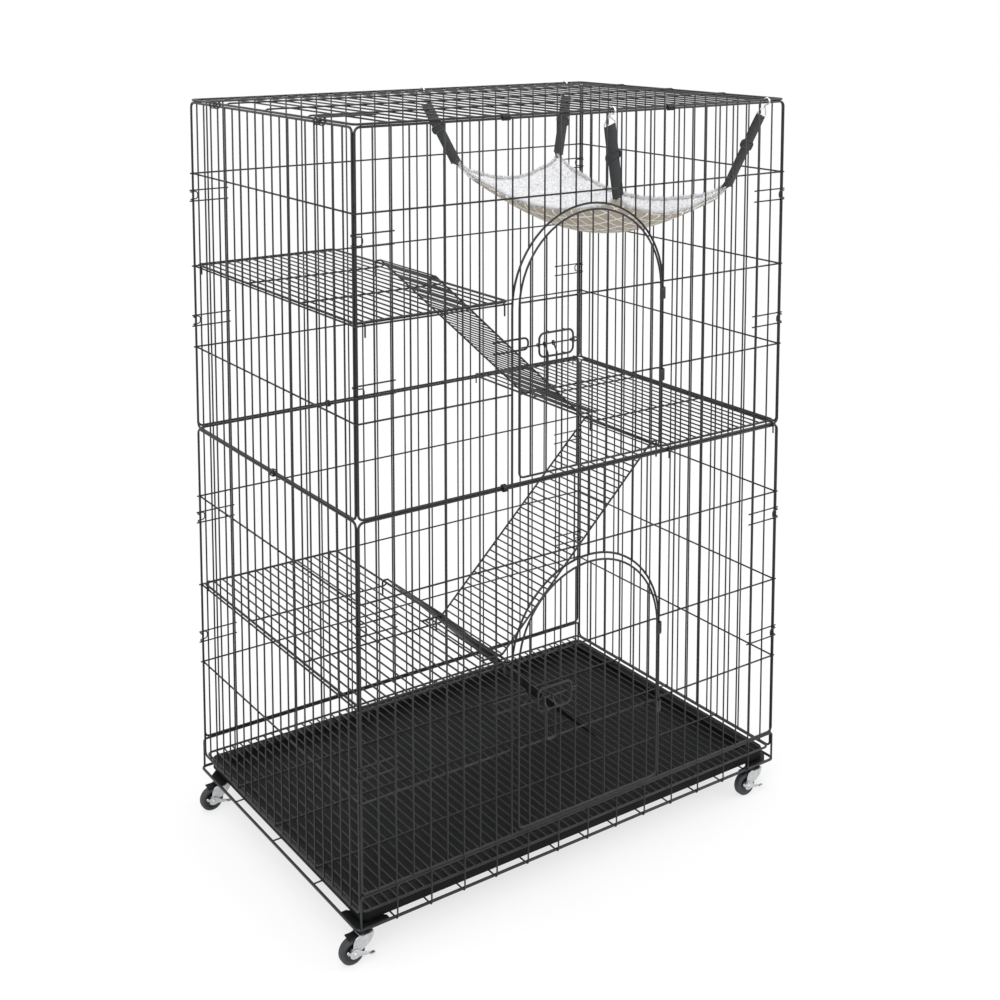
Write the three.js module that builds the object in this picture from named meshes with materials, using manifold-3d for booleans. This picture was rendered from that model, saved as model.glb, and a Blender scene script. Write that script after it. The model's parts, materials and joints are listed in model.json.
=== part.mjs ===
// A two-tier wire cat cage on casters, in millimetres, +Z up.
// X runs along the long front, -Y is the front with the two doors, and the wheels stand on z = 0.
import * as THREE from "three";
import { mergeVertices } from "three/addons/utils/BufferGeometryUtils.js";
import Module from "manifold-3d";

const wasm = await Module();
wasm.setup();

// Cage body: two equal tiers of clipped wire panels
const cage = {
  length: 900, // X, over the front and back panels
  depth: 600, // Y, between the middles of the front and back panels
  tierPitch: 606,
  firstRail: 112, // height of the lower tier's bottom rail above the floor
  skirt: 33, // of the lower side panels, below that rail
  gap: 0.3, // running gap between neighbours
};
const rod = {
  rail: 4, // the wire round each panel
  upright: 2.2,
  cross: 2.6,
  base: 5,
  overhang: 3, // of the long cross wires past their panel's posts
  skin: 0.1, // of the rail outside the wires that are welded into it
};
const bend = { panel: 9, door: 9, steps: 2 };

// Spacing of the wires
// Uprights stand at whole pitches from the middle of each panel
const longGrid = { pitch: 32.14 };
const sideGrid = { pitch: 29.8 };
const levels = { low: 150, middle: 301, high: 472 }; // cross wires, above each tier's bottom rail

// Arched doorway and its door
const arch = { side: 5, spring: 291, rail: 3.6, steps: 12 }; // side is in pitches, spring above the tier
const door = {
  halfWidth: 151,
  sill: 11,
  rail: 3.6,
  proud: 6.4, // the door's plane stands this far in front of the panel's
  hingeTall: 20,
  hingeDrop: 4, // below its cross wire
  hingeWall: 1.7,
  hingePlay: 0.6,
  tabOverlap: 3,
};

// Sliding bolt with its drop handle, and the loop that catches it
const bolt = {
  level: 229,
  from: -152,
  to: -42,
  rod: 2.6,
  proud: 5.1, // in front of the door's plane
  arrowLong: 12,
  arrowHigh: 12,
  bracketFrom: -120,
  bracketTo: -47,
  bracketTall: 43,
  bracketProud: 9.7,
  bracketRod: 3.6,
  bracketBend: 8,
  eye: 1.2, // wall of the bracket's two eyes round the bolt
  eyePlay: 0.4,
  handleFrom: -104,
  handleTo: -86,
  handleDrop: 70,
  handleProud: 14.5,
  handleRod: 2.6,
  handleKnee: 13,
  sleeve: 1.2,
  sleevePlay: 0.5,
  handleBend: 6,
};
const catchLoop = { from: -198, to: -129, tall: 19, rod: 2.4, bend: 8 };

// Hook prongs at the corners of the front and back panels
const prong = { long: 75, overhang: 5, apart: 20, rod: 2.6, low: 199, high: 431 };

// Roof
const roofGrid = { leftOut: 1 }; // wires left out at the left end, where the latches lie
const latch = {
  spots: [-6.5, 6.5], // in side pitches
  long: 100,
  wide: 18,
  start: 2, // of its legs, from the rings' axis
  rod: 2.4,
  ringInner: 5.4,
  ringWall: 1.8,
  ringWide: 8,
};

// Clip rings that hold the two tiers together
const tierClip = { inner: 4.9, wall: 1.8, wide: 9, longSpot: -5.5, sideSpot: -0.5 }; // spots in pitches
const ringSides = 8;

// Base frame, tray and floor grid
const base = {
  overhang: 6, // of the lower rail's middle beyond each end of the cage
  railDrop: 58, // lower rail below the first rail
  topDrop: 4.3, // top rail below the first rail
  wirePitches: 4, // a bent wire at every fourth long pitch
  crossSpots: [-150, 0, 150],
  wire: 2.8,
  endBend: 5,
  bend: 3.2,
  railBend: 6,
};
const tray = {
  endGap: 8, // inside the cage's length and depth
  sideGap: 12,
  rimDrop: 0.3, // below the side panels' bottom rails
  rim: 22, // width of the hollow rim, whose outer edge turns down to the foot
  wall: 2.5,
  corner: 12,
  roomCorner: 8,
  steps: 4,
};
const floorGrid = { endGap: 0.6, sideIn: 2, lift: 1, pitch: 33, crossSpot: 150, bend: 9 };

// Shelves: a rail frame with its wires, hung by four hooks
const shelf = {
  inner: 165, // X of the rail that faces the ramps
  endGap: 5, // inside the cage's length and depth
  sideGap: 6.6,
  pitch: 35,
  crossSpot: 98,
  bend: 8,
  hookRod: 2.8,
  hookDrop: 22,
};

// Ramps: two rails with rungs, hooked over a shelf's rail
const ramp = {
  rail: 3.2,
  wide: 190,
  long: 485,
  rungPitch: 35.4,
  rung: 2.2,
  hookSide: 6.2, // from the shelf rail's middle to the tail's middle
  hookPlay: 0.12, // round the shelf rail's corners, so that the ramp can turn on it
  tail: 24,
  shoulder: 5,
  footBack: 2,
  centres: [25, -182, 10],
  firstRung: 14,
};

// Casters
const caster = {
  leftIn: 15, // from the lower rail's middle to the swivel, at each side
  rightIn: 45,
  frontIn: 9,
  backIn: 58,
  wheelR: 21.5,
  wheelWide: 15,
  chamfer: 2.2,
  bore: 3.4,
  axle: 3,
  axleOut: 3.2,
  trail: 22,
  cheek: 2,
  cheekGap: 1,
  crownHalf: 13,
  crownThick: 2,
  crownTop: 47.2,
  bossR: 13,
  neckR: 6,
  plateThick: 3,
  plateLeg: 56,
  plateTip: 8,
  plateNear: 30, // from the swivel to the plate's cut corner, along both rails together
  plateTop: 55.5,
  neckTall: 1.3,
  sides: 14,
  leverThick: 2,
  leverReach: 34,
  leverDrop: 6,
  leverHalf: 4.5,
  treadWide: 15,
  treadThick: 2.4,
};

// Hammock: plush cloth on four straps with snap hooks
const hammock = {
  hookLeft: 45,
  hookRightIn: 45, // from the cage's right end
  strapTopIn: 3.4, // strap's top, from its hook: along X, along Y and down
  strapTopBack: 10.7,
  strapTopDrop: 30.9,
  cornerIn: 51,
  cornerBack: 45,
  frontDrop: 160,
  backDrop: 148,
  strapWide: 24,
  strapThick: 1.8,
  clothThick: 6,
  sagLong: 48, // of the edges along Y
  sagWide: 36, // of the edges along X
  sagMiddle: 16,
  tuckLong: 9,
  tuckWide: 9,
  fold: 3.2,
  folds: 3,
  cellsWide: 12,
  cellsLong: 18,
  hookRod: 2.4,
  ringInner: 4.9,
  ringWall: 1.8,
  bailHalf: 14,
  bailNeck: 3,
  bailTall: 14,
  buckleWide: 32,
  buckleTall: 17,
  buckleThick: 6,
  buckleShare: 0.42, // down the strap
  strapEndGap: 0.8,
};

const paint = {
  wire: { color: 0x26282a, roughness: 0.45, metalness: 0.25 },
  plastic: { color: 0x232425, roughness: 0.6, metalness: 0 },
  zinc: { color: 0xb8babb, roughness: 0.35, metalness: 0.8 },
  rubber: { color: 0x2c2d2f, roughness: 0.75, metalness: 0 },
  webbing: { color: 0x38393b, roughness: 0.9, metalness: 0 },
  plush: { color: 0xd6d6d8, roughness: 1, metalness: 0 },
  silver: { color: 0xd0d2d4, roughness: 0.25, metalness: 0.9 },
};

// Joining and cutting

function solidOf(geometry) {
  const plain = geometry.clone();
  plain.deleteAttribute("normal");
  plain.deleteAttribute("uv");
  const merged = mergeVertices(plain);
  return new wasm.Manifold(
    new wasm.Mesh({
      numProp: 3,
      vertProperties: new Float32Array(merged.attributes.position.array),
      triVerts: new Uint32Array(merged.index.array),
    }),
  );
}

function joined(solids) {
  return wasm.Manifold.union(solids);
}

const root = new THREE.Group();

function addPiece(name, solid, finish) {
  const shape = solid.getMesh();
  const geometry = new THREE.BufferGeometry();
  geometry.setAttribute("position", new THREE.BufferAttribute(shape.vertProperties, 3));
  geometry.setIndex(new THREE.BufferAttribute(shape.triVerts, 1));
  geometry.computeVertexNormals();
  const mesh = new THREE.Mesh(geometry, new THREE.MeshStandardMaterial(paint[finish]));
  mesh.name = name;
  root.add(mesh);
}

// Plain bars

function block(x0, x1, y0, y1, z0, z1) {
  const box = new THREE.BoxGeometry(x1 - x0, y1 - y0, z1 - z0);
  return solidOf(box.translate((x0 + x1) / 2, (y0 + y1) / 2, (z0 + z1) / 2));
}

function barX(x0, x1, y, z, thick) {
  return block(x0, x1, y - thick / 2, y + thick / 2, z - thick / 2, z + thick / 2);
}

function barY(y0, y1, x, z, thick) {
  return block(x - thick / 2, x + thick / 2, y0, y1, z - thick / 2, z + thick / 2);
}

function barZ(z0, z1, x, y, thick) {
  return block(x - thick / 2, x + thick / 2, y - thick / 2, y + thick / 2, z0, z1);
}

// Wire bent in a plane

const bases = {
  xy: [new THREE.Vector3(1, 0, 0), new THREE.Vector3(0, 1, 0), new THREE.Vector3(0, 0, 1)],
  xz: [new THREE.Vector3(1, 0, 0), new THREE.Vector3(0, 0, 1), new THREE.Vector3(0, -1, 0)],
  yz: [new THREE.Vector3(0, 1, 0), new THREE.Vector3(0, 0, 1), new THREE.Vector3(1, 0, 0)],
};

function inPlane(shape, plane, low, high) {
  const [u, v, w] = bases[plane];
  const geometry = new THREE.ExtrudeGeometry(shape, {
    depth: high - low,
    bevelEnabled: false,
    curveSegments: 1,
    steps: 1,
  });
  geometry.applyMatrix4(new THREE.Matrix4().makeBasis(u, v, w));
  const start = plane === "xz" ? high : low;
  const along = new THREE.Vector3(Math.abs(w.x), Math.abs(w.y), Math.abs(w.z));
  geometry.translate(along.x * start, along.y * start, along.z * start);
  return solidOf(geometry);
}

function point(u, v) {
  return new THREE.Vector2(u, v);
}

// The points of a path with each corner turned into an arc of a few steps.
function rounded(points, radius, steps, closed) {
  const out = [];
  points.forEach((corner, i) => {
    if (!closed && (i === 0 || i === points.length - 1)) {
      out.push(corner);
      return;
    }
    const before = points[(i + points.length - 1) % points.length];
    const after = points[(i + 1) % points.length];
    const back = before.clone().sub(corner).normalize();
    const ahead = after.clone().sub(corner).normalize();
    const half = Math.acos(THREE.MathUtils.clamp(back.dot(ahead), -1, 1)) / 2;
    const room = Math.min(corner.distanceTo(before), corner.distanceTo(after)) / 2;
    const tangent = Math.min(radius / Math.tan(half), room);
    const reach = tangent * Math.tan(half);
    const middle = back.clone().add(ahead).normalize();
    const centre = corner.clone().addScaledVector(middle, reach / Math.sin(half));
    const first = corner.clone().addScaledVector(back, tangent).sub(centre);
    const last = corner.clone().addScaledVector(ahead, tangent).sub(centre);
    let turn = last.angle() - first.angle();
    if (turn > Math.PI) turn -= 2 * Math.PI;
    if (turn < -Math.PI) turn += 2 * Math.PI;
    for (let k = 0; k <= steps; k++) {
      out.push(first.clone().rotateAround(point(0, 0), (turn * k) / steps).add(centre));
    }
  });
  return out;
}

// A path moved sideways by a distance, with mitred corners.
function sideways(points, distance, closed) {
  const count = points.length;
  return points.map((here, i) => {
    const before = points[closed ? (i + count - 1) % count : Math.max(i - 1, 0)];
    const after = points[closed ? (i + 1) % count : Math.min(i + 1, count - 1)];
    const first = here.clone().sub(before);
    const second = after.clone().sub(here);
    if (first.length() === 0) first.copy(second);
    if (second.length() === 0) second.copy(first);
    const a = point(-first.y, first.x).normalize();
    const b = point(-second.y, second.x).normalize();
    const middle = a.clone().add(b).normalize();
    return here.clone().addScaledVector(middle, distance / middle.dot(a));
  });
}

// A wire of square section along a path: four edges, walled round and capped where the path is open
function strip(points, width, low, high, closed) {
  const left = sideways(points, width / 2, closed);
  const right = sideways(points, -width / 2, closed);
  const spots = [];
  points.forEach((_, i) => {
    for (const w of [low, high]) {
      for (const edge of [left[i], right[i]]) spots.push(edge.x, edge.y, w);
    }
  });
  const faces = [];
  const quad = (a, b, c, d) => faces.push(a, b, c, a, c, d);
  const count = points.length;
  for (let i = 0; i < (closed ? count : count - 1); i++) {
    const here = i * 4;
    const next = ((i + 1) % count) * 4;
    quad(here, next, next + 1, here + 1);
    quad(here + 2, here + 3, next + 3, next + 2);
    quad(here, here + 2, next + 2, next);
    quad(here + 1, next + 1, next + 3, here + 3);
  }
  if (!closed) {
    const last = (count - 1) * 4;
    quad(0, 1, 3, 2);
    quad(last, last + 2, last + 3, last + 1);
  }
  const geometry = new THREE.BufferGeometry();
  geometry.setAttribute("position", new THREE.Float32BufferAttribute(spots, 3));
  geometry.setIndex(faces);
  return geometry;
}

function band(plane, points, width, low, high, closed = false) {
  const flip = plane === "xz";
  const geometry = strip(points, width, flip ? -high : low, flip ? -low : high, closed);
  return solidOf(geometry.applyMatrix4(new THREE.Matrix4().makeBasis(...bases[plane])));
}

function plate(plane, points, low, high) {
  return inPlane(new THREE.Shape(points), plane, low, high);
}

function rectangle(u0, u1, v0, v1) {
  return [point(u0, v0), point(u1, v0), point(u1, v1), point(u0, v1)];
}

function circle(u, v, radius, sides) {
  const half = Math.PI / sides;
  return Array.from({ length: sides }, (_, i) =>
    point(u + radius * Math.cos(half * (2 * i + 1)), v + radius * Math.sin(half * (2 * i + 1))),
  );
}

// A ring of flat sides, whose bore is measured between two of its flats
function ring(plane, u, v, inner, wall, low, high) {
  const middle = (inner + wall / 2) / Math.cos(Math.PI / ringSides);
  return band(plane, circle(u, v, middle, ringSides), wall, low, high, true);
}

function between(a, b, thick) {
  const length = a.distanceTo(b);
  const box = new THREE.BoxGeometry(thick, thick, length);
  const turn = new THREE.Quaternion().setFromUnitVectors(
    new THREE.Vector3(0, 0, 1),
    b.clone().sub(a).normalize(),
  );
  box.applyQuaternion(turn);
  const middle = a.clone().add(b).divideScalar(2);
  return solidOf(box.translate(middle.x, middle.y, middle.z));
}

const halfRail = rod.rail / 2;
const crossIn = rod.upright / 2 + cage.gap; // a cross wire's near face, from the uprights' middles
const crossOut = crossIn + rod.cross;
// A panel's cross wires and uprights lie in two layers within the depth of its rails
const layerNear = cage.gap / 2;
const layerFar = halfRail - rod.skin;
const panelTall = cage.tierPitch - rod.rail - cage.gap; // between the middles of its two rails
const tierBases = { lower: cage.firstRail, upper: cage.firstRail + cage.tierPitch };
const panelTop = tierBases.upper + panelTall + halfRail;
const longHalf = cage.length / 2 - halfRail;
const sideHalf = cage.depth / 2 - halfRail - cage.gap - halfRail;
const longReach = Math.floor((longHalf - rod.rail) / longGrid.pitch);
const skirtRail = cage.firstRail - cage.skirt; // bottom rail of the lower tier's side panels
const sideReach = Math.floor((sideHalf - rod.rail) / sideGrid.pitch);
const archHalf = arch.side * longGrid.pitch;
const doorPlane = -cage.depth / 2 - door.proud;

// Distances outwards from a wall's plane, as a low and a high coordinate on its axis
function outwards(side, plane, near, far) {
  return side < 0 ? [-plane - far, -plane - near] : [plane + near, plane + far];
}

function archLine(half, foot, spring) {
  const points = [point(-half, foot), point(-half, spring)];
  for (let i = 1; i < arch.steps; i++) {
    const turn = Math.PI - (Math.PI * i) / arch.steps;
    points.push(point(half * Math.cos(turn), spring + half * Math.sin(turn)));
  }
  points.push(point(half, spring), point(half, foot));
  return points;
}

function archHeight(half, spring, x) {
  return spring + Math.sqrt(Math.max(half * half - x * x, 0));
}

// Front and back panels

function cornerProngs(side, foot) {
  const y = outwards(side, cage.depth / 2, -layerFar, -layerNear);
  const found = [];
  for (const end of [-1, 1]) {
    for (const level of [prong.low, prong.high]) {
      for (const half of [-prong.apart / 2, prong.apart / 2]) {
        const x0 = end * (cage.length / 2 + prong.overhang);
        const x1 = x0 - end * prong.long;
        const z = foot + level + half;
        found.push(
          block(Math.min(x0, x1), Math.max(x0, x1), ...y, z - prong.rod / 2, z + prong.rod / 2),
        );
      }
    }
  }
  return found;
}

function doorway(foot) {
  const line = archLine(archHalf, foot, foot + arch.spring);
  const depth = cage.depth / 2;
  const z = foot + bolt.level + bolt.rod;
  const loop = rounded(
    [
      point(catchLoop.from, z + catchLoop.tall / 2),
      point(catchLoop.to, z + catchLoop.tall / 2),
      point(catchLoop.to, z - catchLoop.tall / 2),
      point(catchLoop.from, z - catchLoop.tall / 2),
    ],
    catchLoop.bend,
    bend.steps,
    false,
  );
  return [
    band("xz", line, arch.rail, -depth - halfRail, -depth + halfRail),
    band("xz", loop, catchLoop.rod, -depth - catchLoop.rod / 2, -depth + catchLoop.rod / 2),
  ];
}

function longPanel(side, foot, hasDoor) {
  const y = side * (cage.depth / 2);
  const top = foot + panelTall;
  const frame = rounded(rectangle(-longHalf, longHalf, foot, top), bend.panel, bend.steps, true);
  const wires = [band("xz", frame, rod.rail, y - halfRail, y + halfRail, true)];
  const outer = outwards(side, cage.depth / 2, layerNear, layerFar);
  const inner = outwards(side, cage.depth / 2, -layerFar, -layerNear);
  for (let k = -longReach; k <= longReach; k++) {
    const x = k * longGrid.pitch;
    let low = foot;
    if (hasDoor && Math.abs(k) === arch.side) low = foot + levels.middle;
    if (hasDoor && Math.abs(k) < arch.side) low = archHeight(archHalf, foot + arch.spring, x);
    wires.push(block(x - rod.upright / 2, x + rod.upright / 2, ...outer, low, top));
  }
  const reach = longHalf + halfRail + rod.overhang;
  for (const level of Object.values(levels)) {
    const z = [foot + level - rod.cross / 2, foot + level + rod.cross / 2];
    if (hasDoor && level !== levels.high) {
      wires.push(block(-reach, -archHalf, ...inner, ...z), block(archHalf, reach, ...inner, ...z));
    } else {
      wires.push(block(-reach, reach, ...inner, ...z));
    }
  }
  wires.push(...cornerProngs(side, foot));
  if (hasDoor) wires.push(...doorway(foot));
  return joined(wires);
}

// Side panels, of which the lower ones reach down to the floor grid

function sidePanel(side, foot, low) {
  const x = side * (cage.length / 2);
  const top = foot + panelTall;
  const frame = rounded(rectangle(-sideHalf, sideHalf, low, top), bend.panel, bend.steps, true);
  const wires = [band("yz", frame, rod.rail, x - halfRail, x + halfRail, true)];
  const outer = outwards(side, cage.length / 2, layerNear, layerFar);
  const inner = outwards(side, cage.length / 2, -layerFar, -layerNear);
  for (let k = -sideReach; k <= sideReach; k++) {
    const y = k * sideGrid.pitch;
    wires.push(block(...outer, y - rod.upright / 2, y + rod.upright / 2, low, top));
  }
  for (const level of Object.values(levels)) {
    const z = [foot + level - rod.cross / 2, foot + level + rod.cross / 2];
    wires.push(block(...inner, -sideHalf, sideHalf, ...z));
  }
  return joined(wires);
}

for (const [tier, foot] of Object.entries(tierBases)) {
  addPiece(`${tier}_front_panel`, longPanel(-1, foot, true), "wire");
  addPiece(`${tier}_back_panel`, longPanel(1, foot, false), "wire");
  const low = tier === "lower" ? skirtRail : foot;
  addPiece(`${tier}_left_panel`, sidePanel(-1, foot, low), "wire");
  addPiece(`${tier}_right_panel`, sidePanel(1, foot, low), "wire");
}

// Roof panel

const roofLow = panelTop + cage.gap;
const roofHigh = roofLow + rod.rail;

function roofPanel() {
  const halfDepth = cage.depth / 2;
  const frame = rounded(
    rectangle(-longHalf, longHalf, -halfDepth, halfDepth),
    bend.panel,
    bend.steps,
    true,
  );
  const wires = [band("xy", frame, rod.rail, roofLow, roofHigh, true)];
  const middle = (roofLow + roofHigh) / 2;
  for (let k = roofGrid.leftOut - longReach; k <= longReach; k++) {
    wires.push(barY(-halfDepth, halfDepth, k * longGrid.pitch, middle, rod.upright));
  }
  const crossLow = middle + crossIn;
  for (const y of base.crossSpots) {
    wires.push(
      block(-longHalf, longHalf, y - rod.cross / 2, y + rod.cross / 2, crossLow, crossLow + rod.cross),
    );
  }
  return joined(wires);
}

addPiece("roof_panel", roofPanel(), "wire");

// Roof latches: a long loop on two rings round the left top rails

const stackMiddle = panelTop + cage.gap / 2;

function roofLatch(y) {
  const x = -(longHalf + halfRail / 2); // midway across the two rails, which lie side by side
  const half = latch.wide / 2 - latch.rod / 2;
  const high = stackMiddle + latch.ringInner + latch.ringWall;
  const low = high - latch.rod;
  const loop = rounded(
    [
      point(x + latch.start, y - half),
      point(x + latch.long, y - half),
      point(x + latch.long, y + half),
      point(x + latch.start, y + half),
    ],
    half,
    bend.steps,
    false,
  );
  const pieces = [band("xy", loop, latch.rod, low, high)];
  for (const end of [-1, 1]) {
    const middle = y + end * half;
    const span = [middle - latch.ringWide / 2, middle + latch.ringWide / 2];
    pieces.push(ring("xz", x, stackMiddle, latch.ringInner, latch.ringWall, ...span));
  }
  return joined(pieces);
}

addPiece("front_roof_latch", roofLatch(latch.spots[0] * sideGrid.pitch), "wire");
addPiece("back_roof_latch", roofLatch(latch.spots[1] * sideGrid.pitch), "wire");

// Rings that clip the upper tier to the lower one

const seam = tierBases.upper - halfRail - cage.gap / 2;

function longClip(side, x) {
  const span = [x - tierClip.wide / 2, x + tierClip.wide / 2];
  return ring("yz", side * (cage.depth / 2), seam, tierClip.inner, tierClip.wall, ...span);
}

function sideClip(side, y) {
  const span = [y - tierClip.wide / 2, y + tierClip.wide / 2];
  return ring("xz", side * (cage.length / 2), seam, tierClip.inner, tierClip.wall, ...span);
}

addPiece("front_tier_clip", longClip(-1, tierClip.longSpot * longGrid.pitch), "wire");
addPiece("back_tier_clip", longClip(1, tierClip.longSpot * longGrid.pitch), "wire");
addPiece("left_tier_clip", sideClip(-1, tierClip.sideSpot * sideGrid.pitch), "wire");

// Doors: an arched frame that turns on two sleeves round the doorway's right post

function doorLeaf(foot) {
  const y = doorPlane;
  const sill = foot + door.sill;
  const spring = foot + arch.spring;
  const line = archLine(door.halfWidth, sill, spring);
  const frame = [
    ...line.slice(1, -1),
    ...rounded(
      [line.at(-2), line.at(-1), line[0], line[1]],
      bend.door,
      bend.steps,
      false,
    ).slice(1, -1),
  ];
  const half = door.rail / 2;
  const wires = [band("xz", frame, door.rail, y - half, y + half, true)];
  for (let k = 1 - arch.side; k < arch.side; k++) {
    const x = k * longGrid.pitch;
    wires.push(barZ(sill, archHeight(door.halfWidth, spring, x), x, y, rod.upright));
  }
  const back = [y + crossIn, y + crossOut];
  for (const level of [levels.low, levels.middle]) {
    const z = [foot + level - rod.cross / 2, foot + level + rod.cross / 2];
    wires.push(block(-door.halfWidth, door.halfWidth, ...back, ...z));
  }
  const post = { x: archHalf, y: -cage.depth / 2 };
  const inner = Math.hypot(arch.rail / 2, halfRail) + door.hingePlay;
  const outer = (inner + door.hingeWall) / Math.cos(Math.PI / ringSides);
  const found = [];
  for (const level of [levels.low, levels.middle]) {
    const high = foot + Math.min(level - door.hingeDrop, arch.spring);
    const low = high - door.hingeTall;
    const sleeve = plate("xy", circle(post.x, post.y, outer, ringSides), low, high);
    const tab = block(door.halfWidth, post.x, y - half, post.y - inner, low, high);
    const bore = circle(post.x, post.y, inner / Math.cos(Math.PI / ringSides), ringSides);
    const hole = plate("xy", bore, low - half, high + half);
    found.push(sleeve.add(tab).subtract(hole));
  }
  return joined([...wires, ...found, ...boltBracket(foot, y)]);
}

// The loop on the door that carries the bolt in two eyes, on four short standoffs
function boltBracket(foot, doorY) {
  const z = foot + bolt.level;
  const y = doorPlane - bolt.bracketProud;
  const half = bolt.bracketRod / 2;
  const tall = bolt.bracketTall / 2 - half;
  const frame = rounded(
    rectangle(bolt.bracketFrom + half, bolt.bracketTo - half, z - tall, z + tall),
    bolt.bracketBend,
    bend.steps,
    true,
  );
  const pieces = [band("xz", frame, bolt.bracketRod, y - half, y + half, true)];
  for (const k of [-3, -2]) {
    for (const end of [-tall, tall]) {
      pieces.push(barY(y, doorY, k * longGrid.pitch, z + end, rod.upright));
    }
  }
  const boltY = doorPlane - bolt.proud;
  const inner = bolt.rod * Math.SQRT1_2 + bolt.eyePlay;
  for (const x of [bolt.bracketFrom + half, bolt.bracketTo - half]) {
    pieces.push(ring("yz", boltY, z, inner, bolt.eye, x - half, x + half));
  }
  return pieces;
}

function boltRod(foot) {
  const y = doorPlane - bolt.proud;
  const z = foot + bolt.level;
  const half = bolt.rod / 2;
  const tip = bolt.to + bolt.arrowLong;
  const arrow = [
    point(bolt.to, z),
    point(bolt.to, z + bolt.arrowHigh / 2),
    point(tip, z),
    point(bolt.to, z - bolt.arrowHigh / 2),
  ];
  return joined([
    barX(bolt.from, bolt.to + half, y, z, bolt.rod),
    plate("xz", [arrow[1], arrow[3], arrow[2]], y - half, y + half),
  ]);
}

function boltHandle(foot) {
  const y = doorPlane - bolt.proud;
  const z = foot + bolt.level;
  const inner = bolt.rod * Math.SQRT1_2 + bolt.sleevePlay;
  const front = doorPlane - bolt.handleProud;
  const half = bolt.handleRod / 2;
  const start = -(inner + half);
  const leg = [
    point(y + start * Math.SQRT1_2, z + start * Math.SQRT1_2),
    point(front, z - bolt.handleKnee),
    point(front, z - bolt.handleDrop),
  ];
  const pieces = [
    barX(
      bolt.handleFrom - half,
      bolt.handleTo + half,
      front,
      z - bolt.handleDrop,
      bolt.handleRod,
    ),
  ];
  for (const x of [bolt.handleFrom, bolt.handleTo]) {
    pieces.push(ring("yz", y, z, inner, bolt.sleeve, x - half, x + half));
    pieces.push(band("yz", leg, bolt.handleRod, x - half, x + half));
  }
  return joined(pieces);
}

for (const [tier, foot] of Object.entries(tierBases)) {
  addPiece(`${tier}_door`, doorLeaf(foot), "wire");
  addPiece(`${tier}_door_bolt`, boltRod(foot), "wire");
  addPiece(`${tier}_bolt_handle`, boltHandle(foot), "wire");
}

// Base frame: a flat lower frame that carries the tray, and the walls that stand on it

const baseHalf = cage.length / 2 + base.overhang;
const lowRail = cage.firstRail - base.railDrop;
const topRail = cage.firstRail - base.topDrop;
const halfBase = rod.base / 2;
const underWire = lowRail - halfBase - base.wire / 2 + cage.gap;
const carryTop = lowRail + halfBase;
const wallLow = carryTop + cage.gap;
const baseOutY = cage.depth / 2 + halfRail + base.wire / 2 - cage.gap;
const baseReach = Math.floor(longHalf / (base.wirePitches * longGrid.pitch));
const wireSpots = [];
const swivelSpots = [caster.leftIn - baseHalf, baseHalf - caster.rightIn];
const wireClear = caster.bossR + base.wire; // between a bent wire and a caster's swivel
for (let k = -baseReach; k <= baseReach; k++) {
  const spot = k * base.wirePitches * longGrid.pitch;
  if (swivelSpots.every((swivel) => Math.abs(spot - swivel) > wireClear)) wireSpots.push(spot);
}

function baseFrame() {
  const halfDepth = cage.depth / 2;
  const half = base.wire / 2;
  const lower = rounded(
    rectangle(-baseHalf, baseHalf, -halfDepth, halfDepth),
    base.railBend,
    bend.steps,
    true,
  );
  const pieces = [band("xy", lower, rod.base, lowRail - halfBase, carryTop, true)];
  for (const x of wireSpots) {
    const line = rounded(
      [
        point(-baseOutY, carryTop),
        point(-baseOutY, underWire),
        point(baseOutY, underWire),
        point(baseOutY, carryTop),
      ],
      base.bend,
      1,
      false,
    );
    pieces.push(band("yz", line, base.wire, x - half, x + half));
  }
  // Three wires carry the tray.
  for (const y of base.crossSpots) {
    pieces.push(block(-baseHalf, baseHalf, y - half, y + half, carryTop - base.wire, carryTop));
  }
  return joined(pieces);
}

// The rail of one long side with its ends turned down, and the bent wires' legs
function baseWall(side) {
  const y = side * (cage.depth / 2);
  const downX = cage.length / 2 + cage.gap;
  const line = rounded(
    [
      point(-downX, wallLow),
      point(-downX, topRail),
      point(downX, topRail),
      point(downX, wallLow),
    ],
    base.endBend,
    bend.steps,
    false,
  );
  const legs = wireSpots.map((x) => barZ(wallLow, topRail, x, side * baseOutY, base.wire));
  return joined([band("xz", line, rod.rail, y - halfRail, y + halfRail), ...legs]);
}

addPiece("base_frame", baseFrame(), "wire");
addPiece("base_front_rail", baseWall(-1), "wire");
addPiece("base_back_rail", baseWall(1), "wire");

// Tray

const trayLow = carryTop + cage.gap;
const trayHigh = skirtRail - halfRail - tray.rimDrop;
const trayHalfLength = cage.length / 2 - tray.endGap;
const trayHalfDepth = cage.depth / 2 - tray.sideGap;

function roundedBlock(halfLength, halfDepth, corner, low, high) {
  const outline = rounded(
    rectangle(-halfLength, halfLength, -halfDepth, halfDepth),
    corner,
    tray.steps,
    true,
  );
  return plate("xy", outline, low, high);
}

function trayPan() {
  const { rim, wall, corner, roomCorner } = tray;
  const shape = (inset, bend, low, high) =>
    roundedBlock(trayHalfLength - inset, trayHalfDepth - inset, bend, low, high);
  const body = shape(0, corner, trayLow, trayHigh);
  const room = shape(rim, roomCorner, trayLow + wall, trayHigh + wall);
  const channel = shape(wall, corner - wall, trayLow - wall, trayHigh - wall).subtract(
    shape(rim - wall, roomCorner + wall, trayLow - wall, trayHigh),
  );
  return body.subtract(room).subtract(channel);
}

addPiece("tray", trayPan(), "plastic");

// Floor grid, whose cross wires lie on the side panels' bottom rails

const gridMiddle = skirtRail + floorGrid.lift;
const gridTop = gridMiddle + crossIn + rod.cross;

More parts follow.
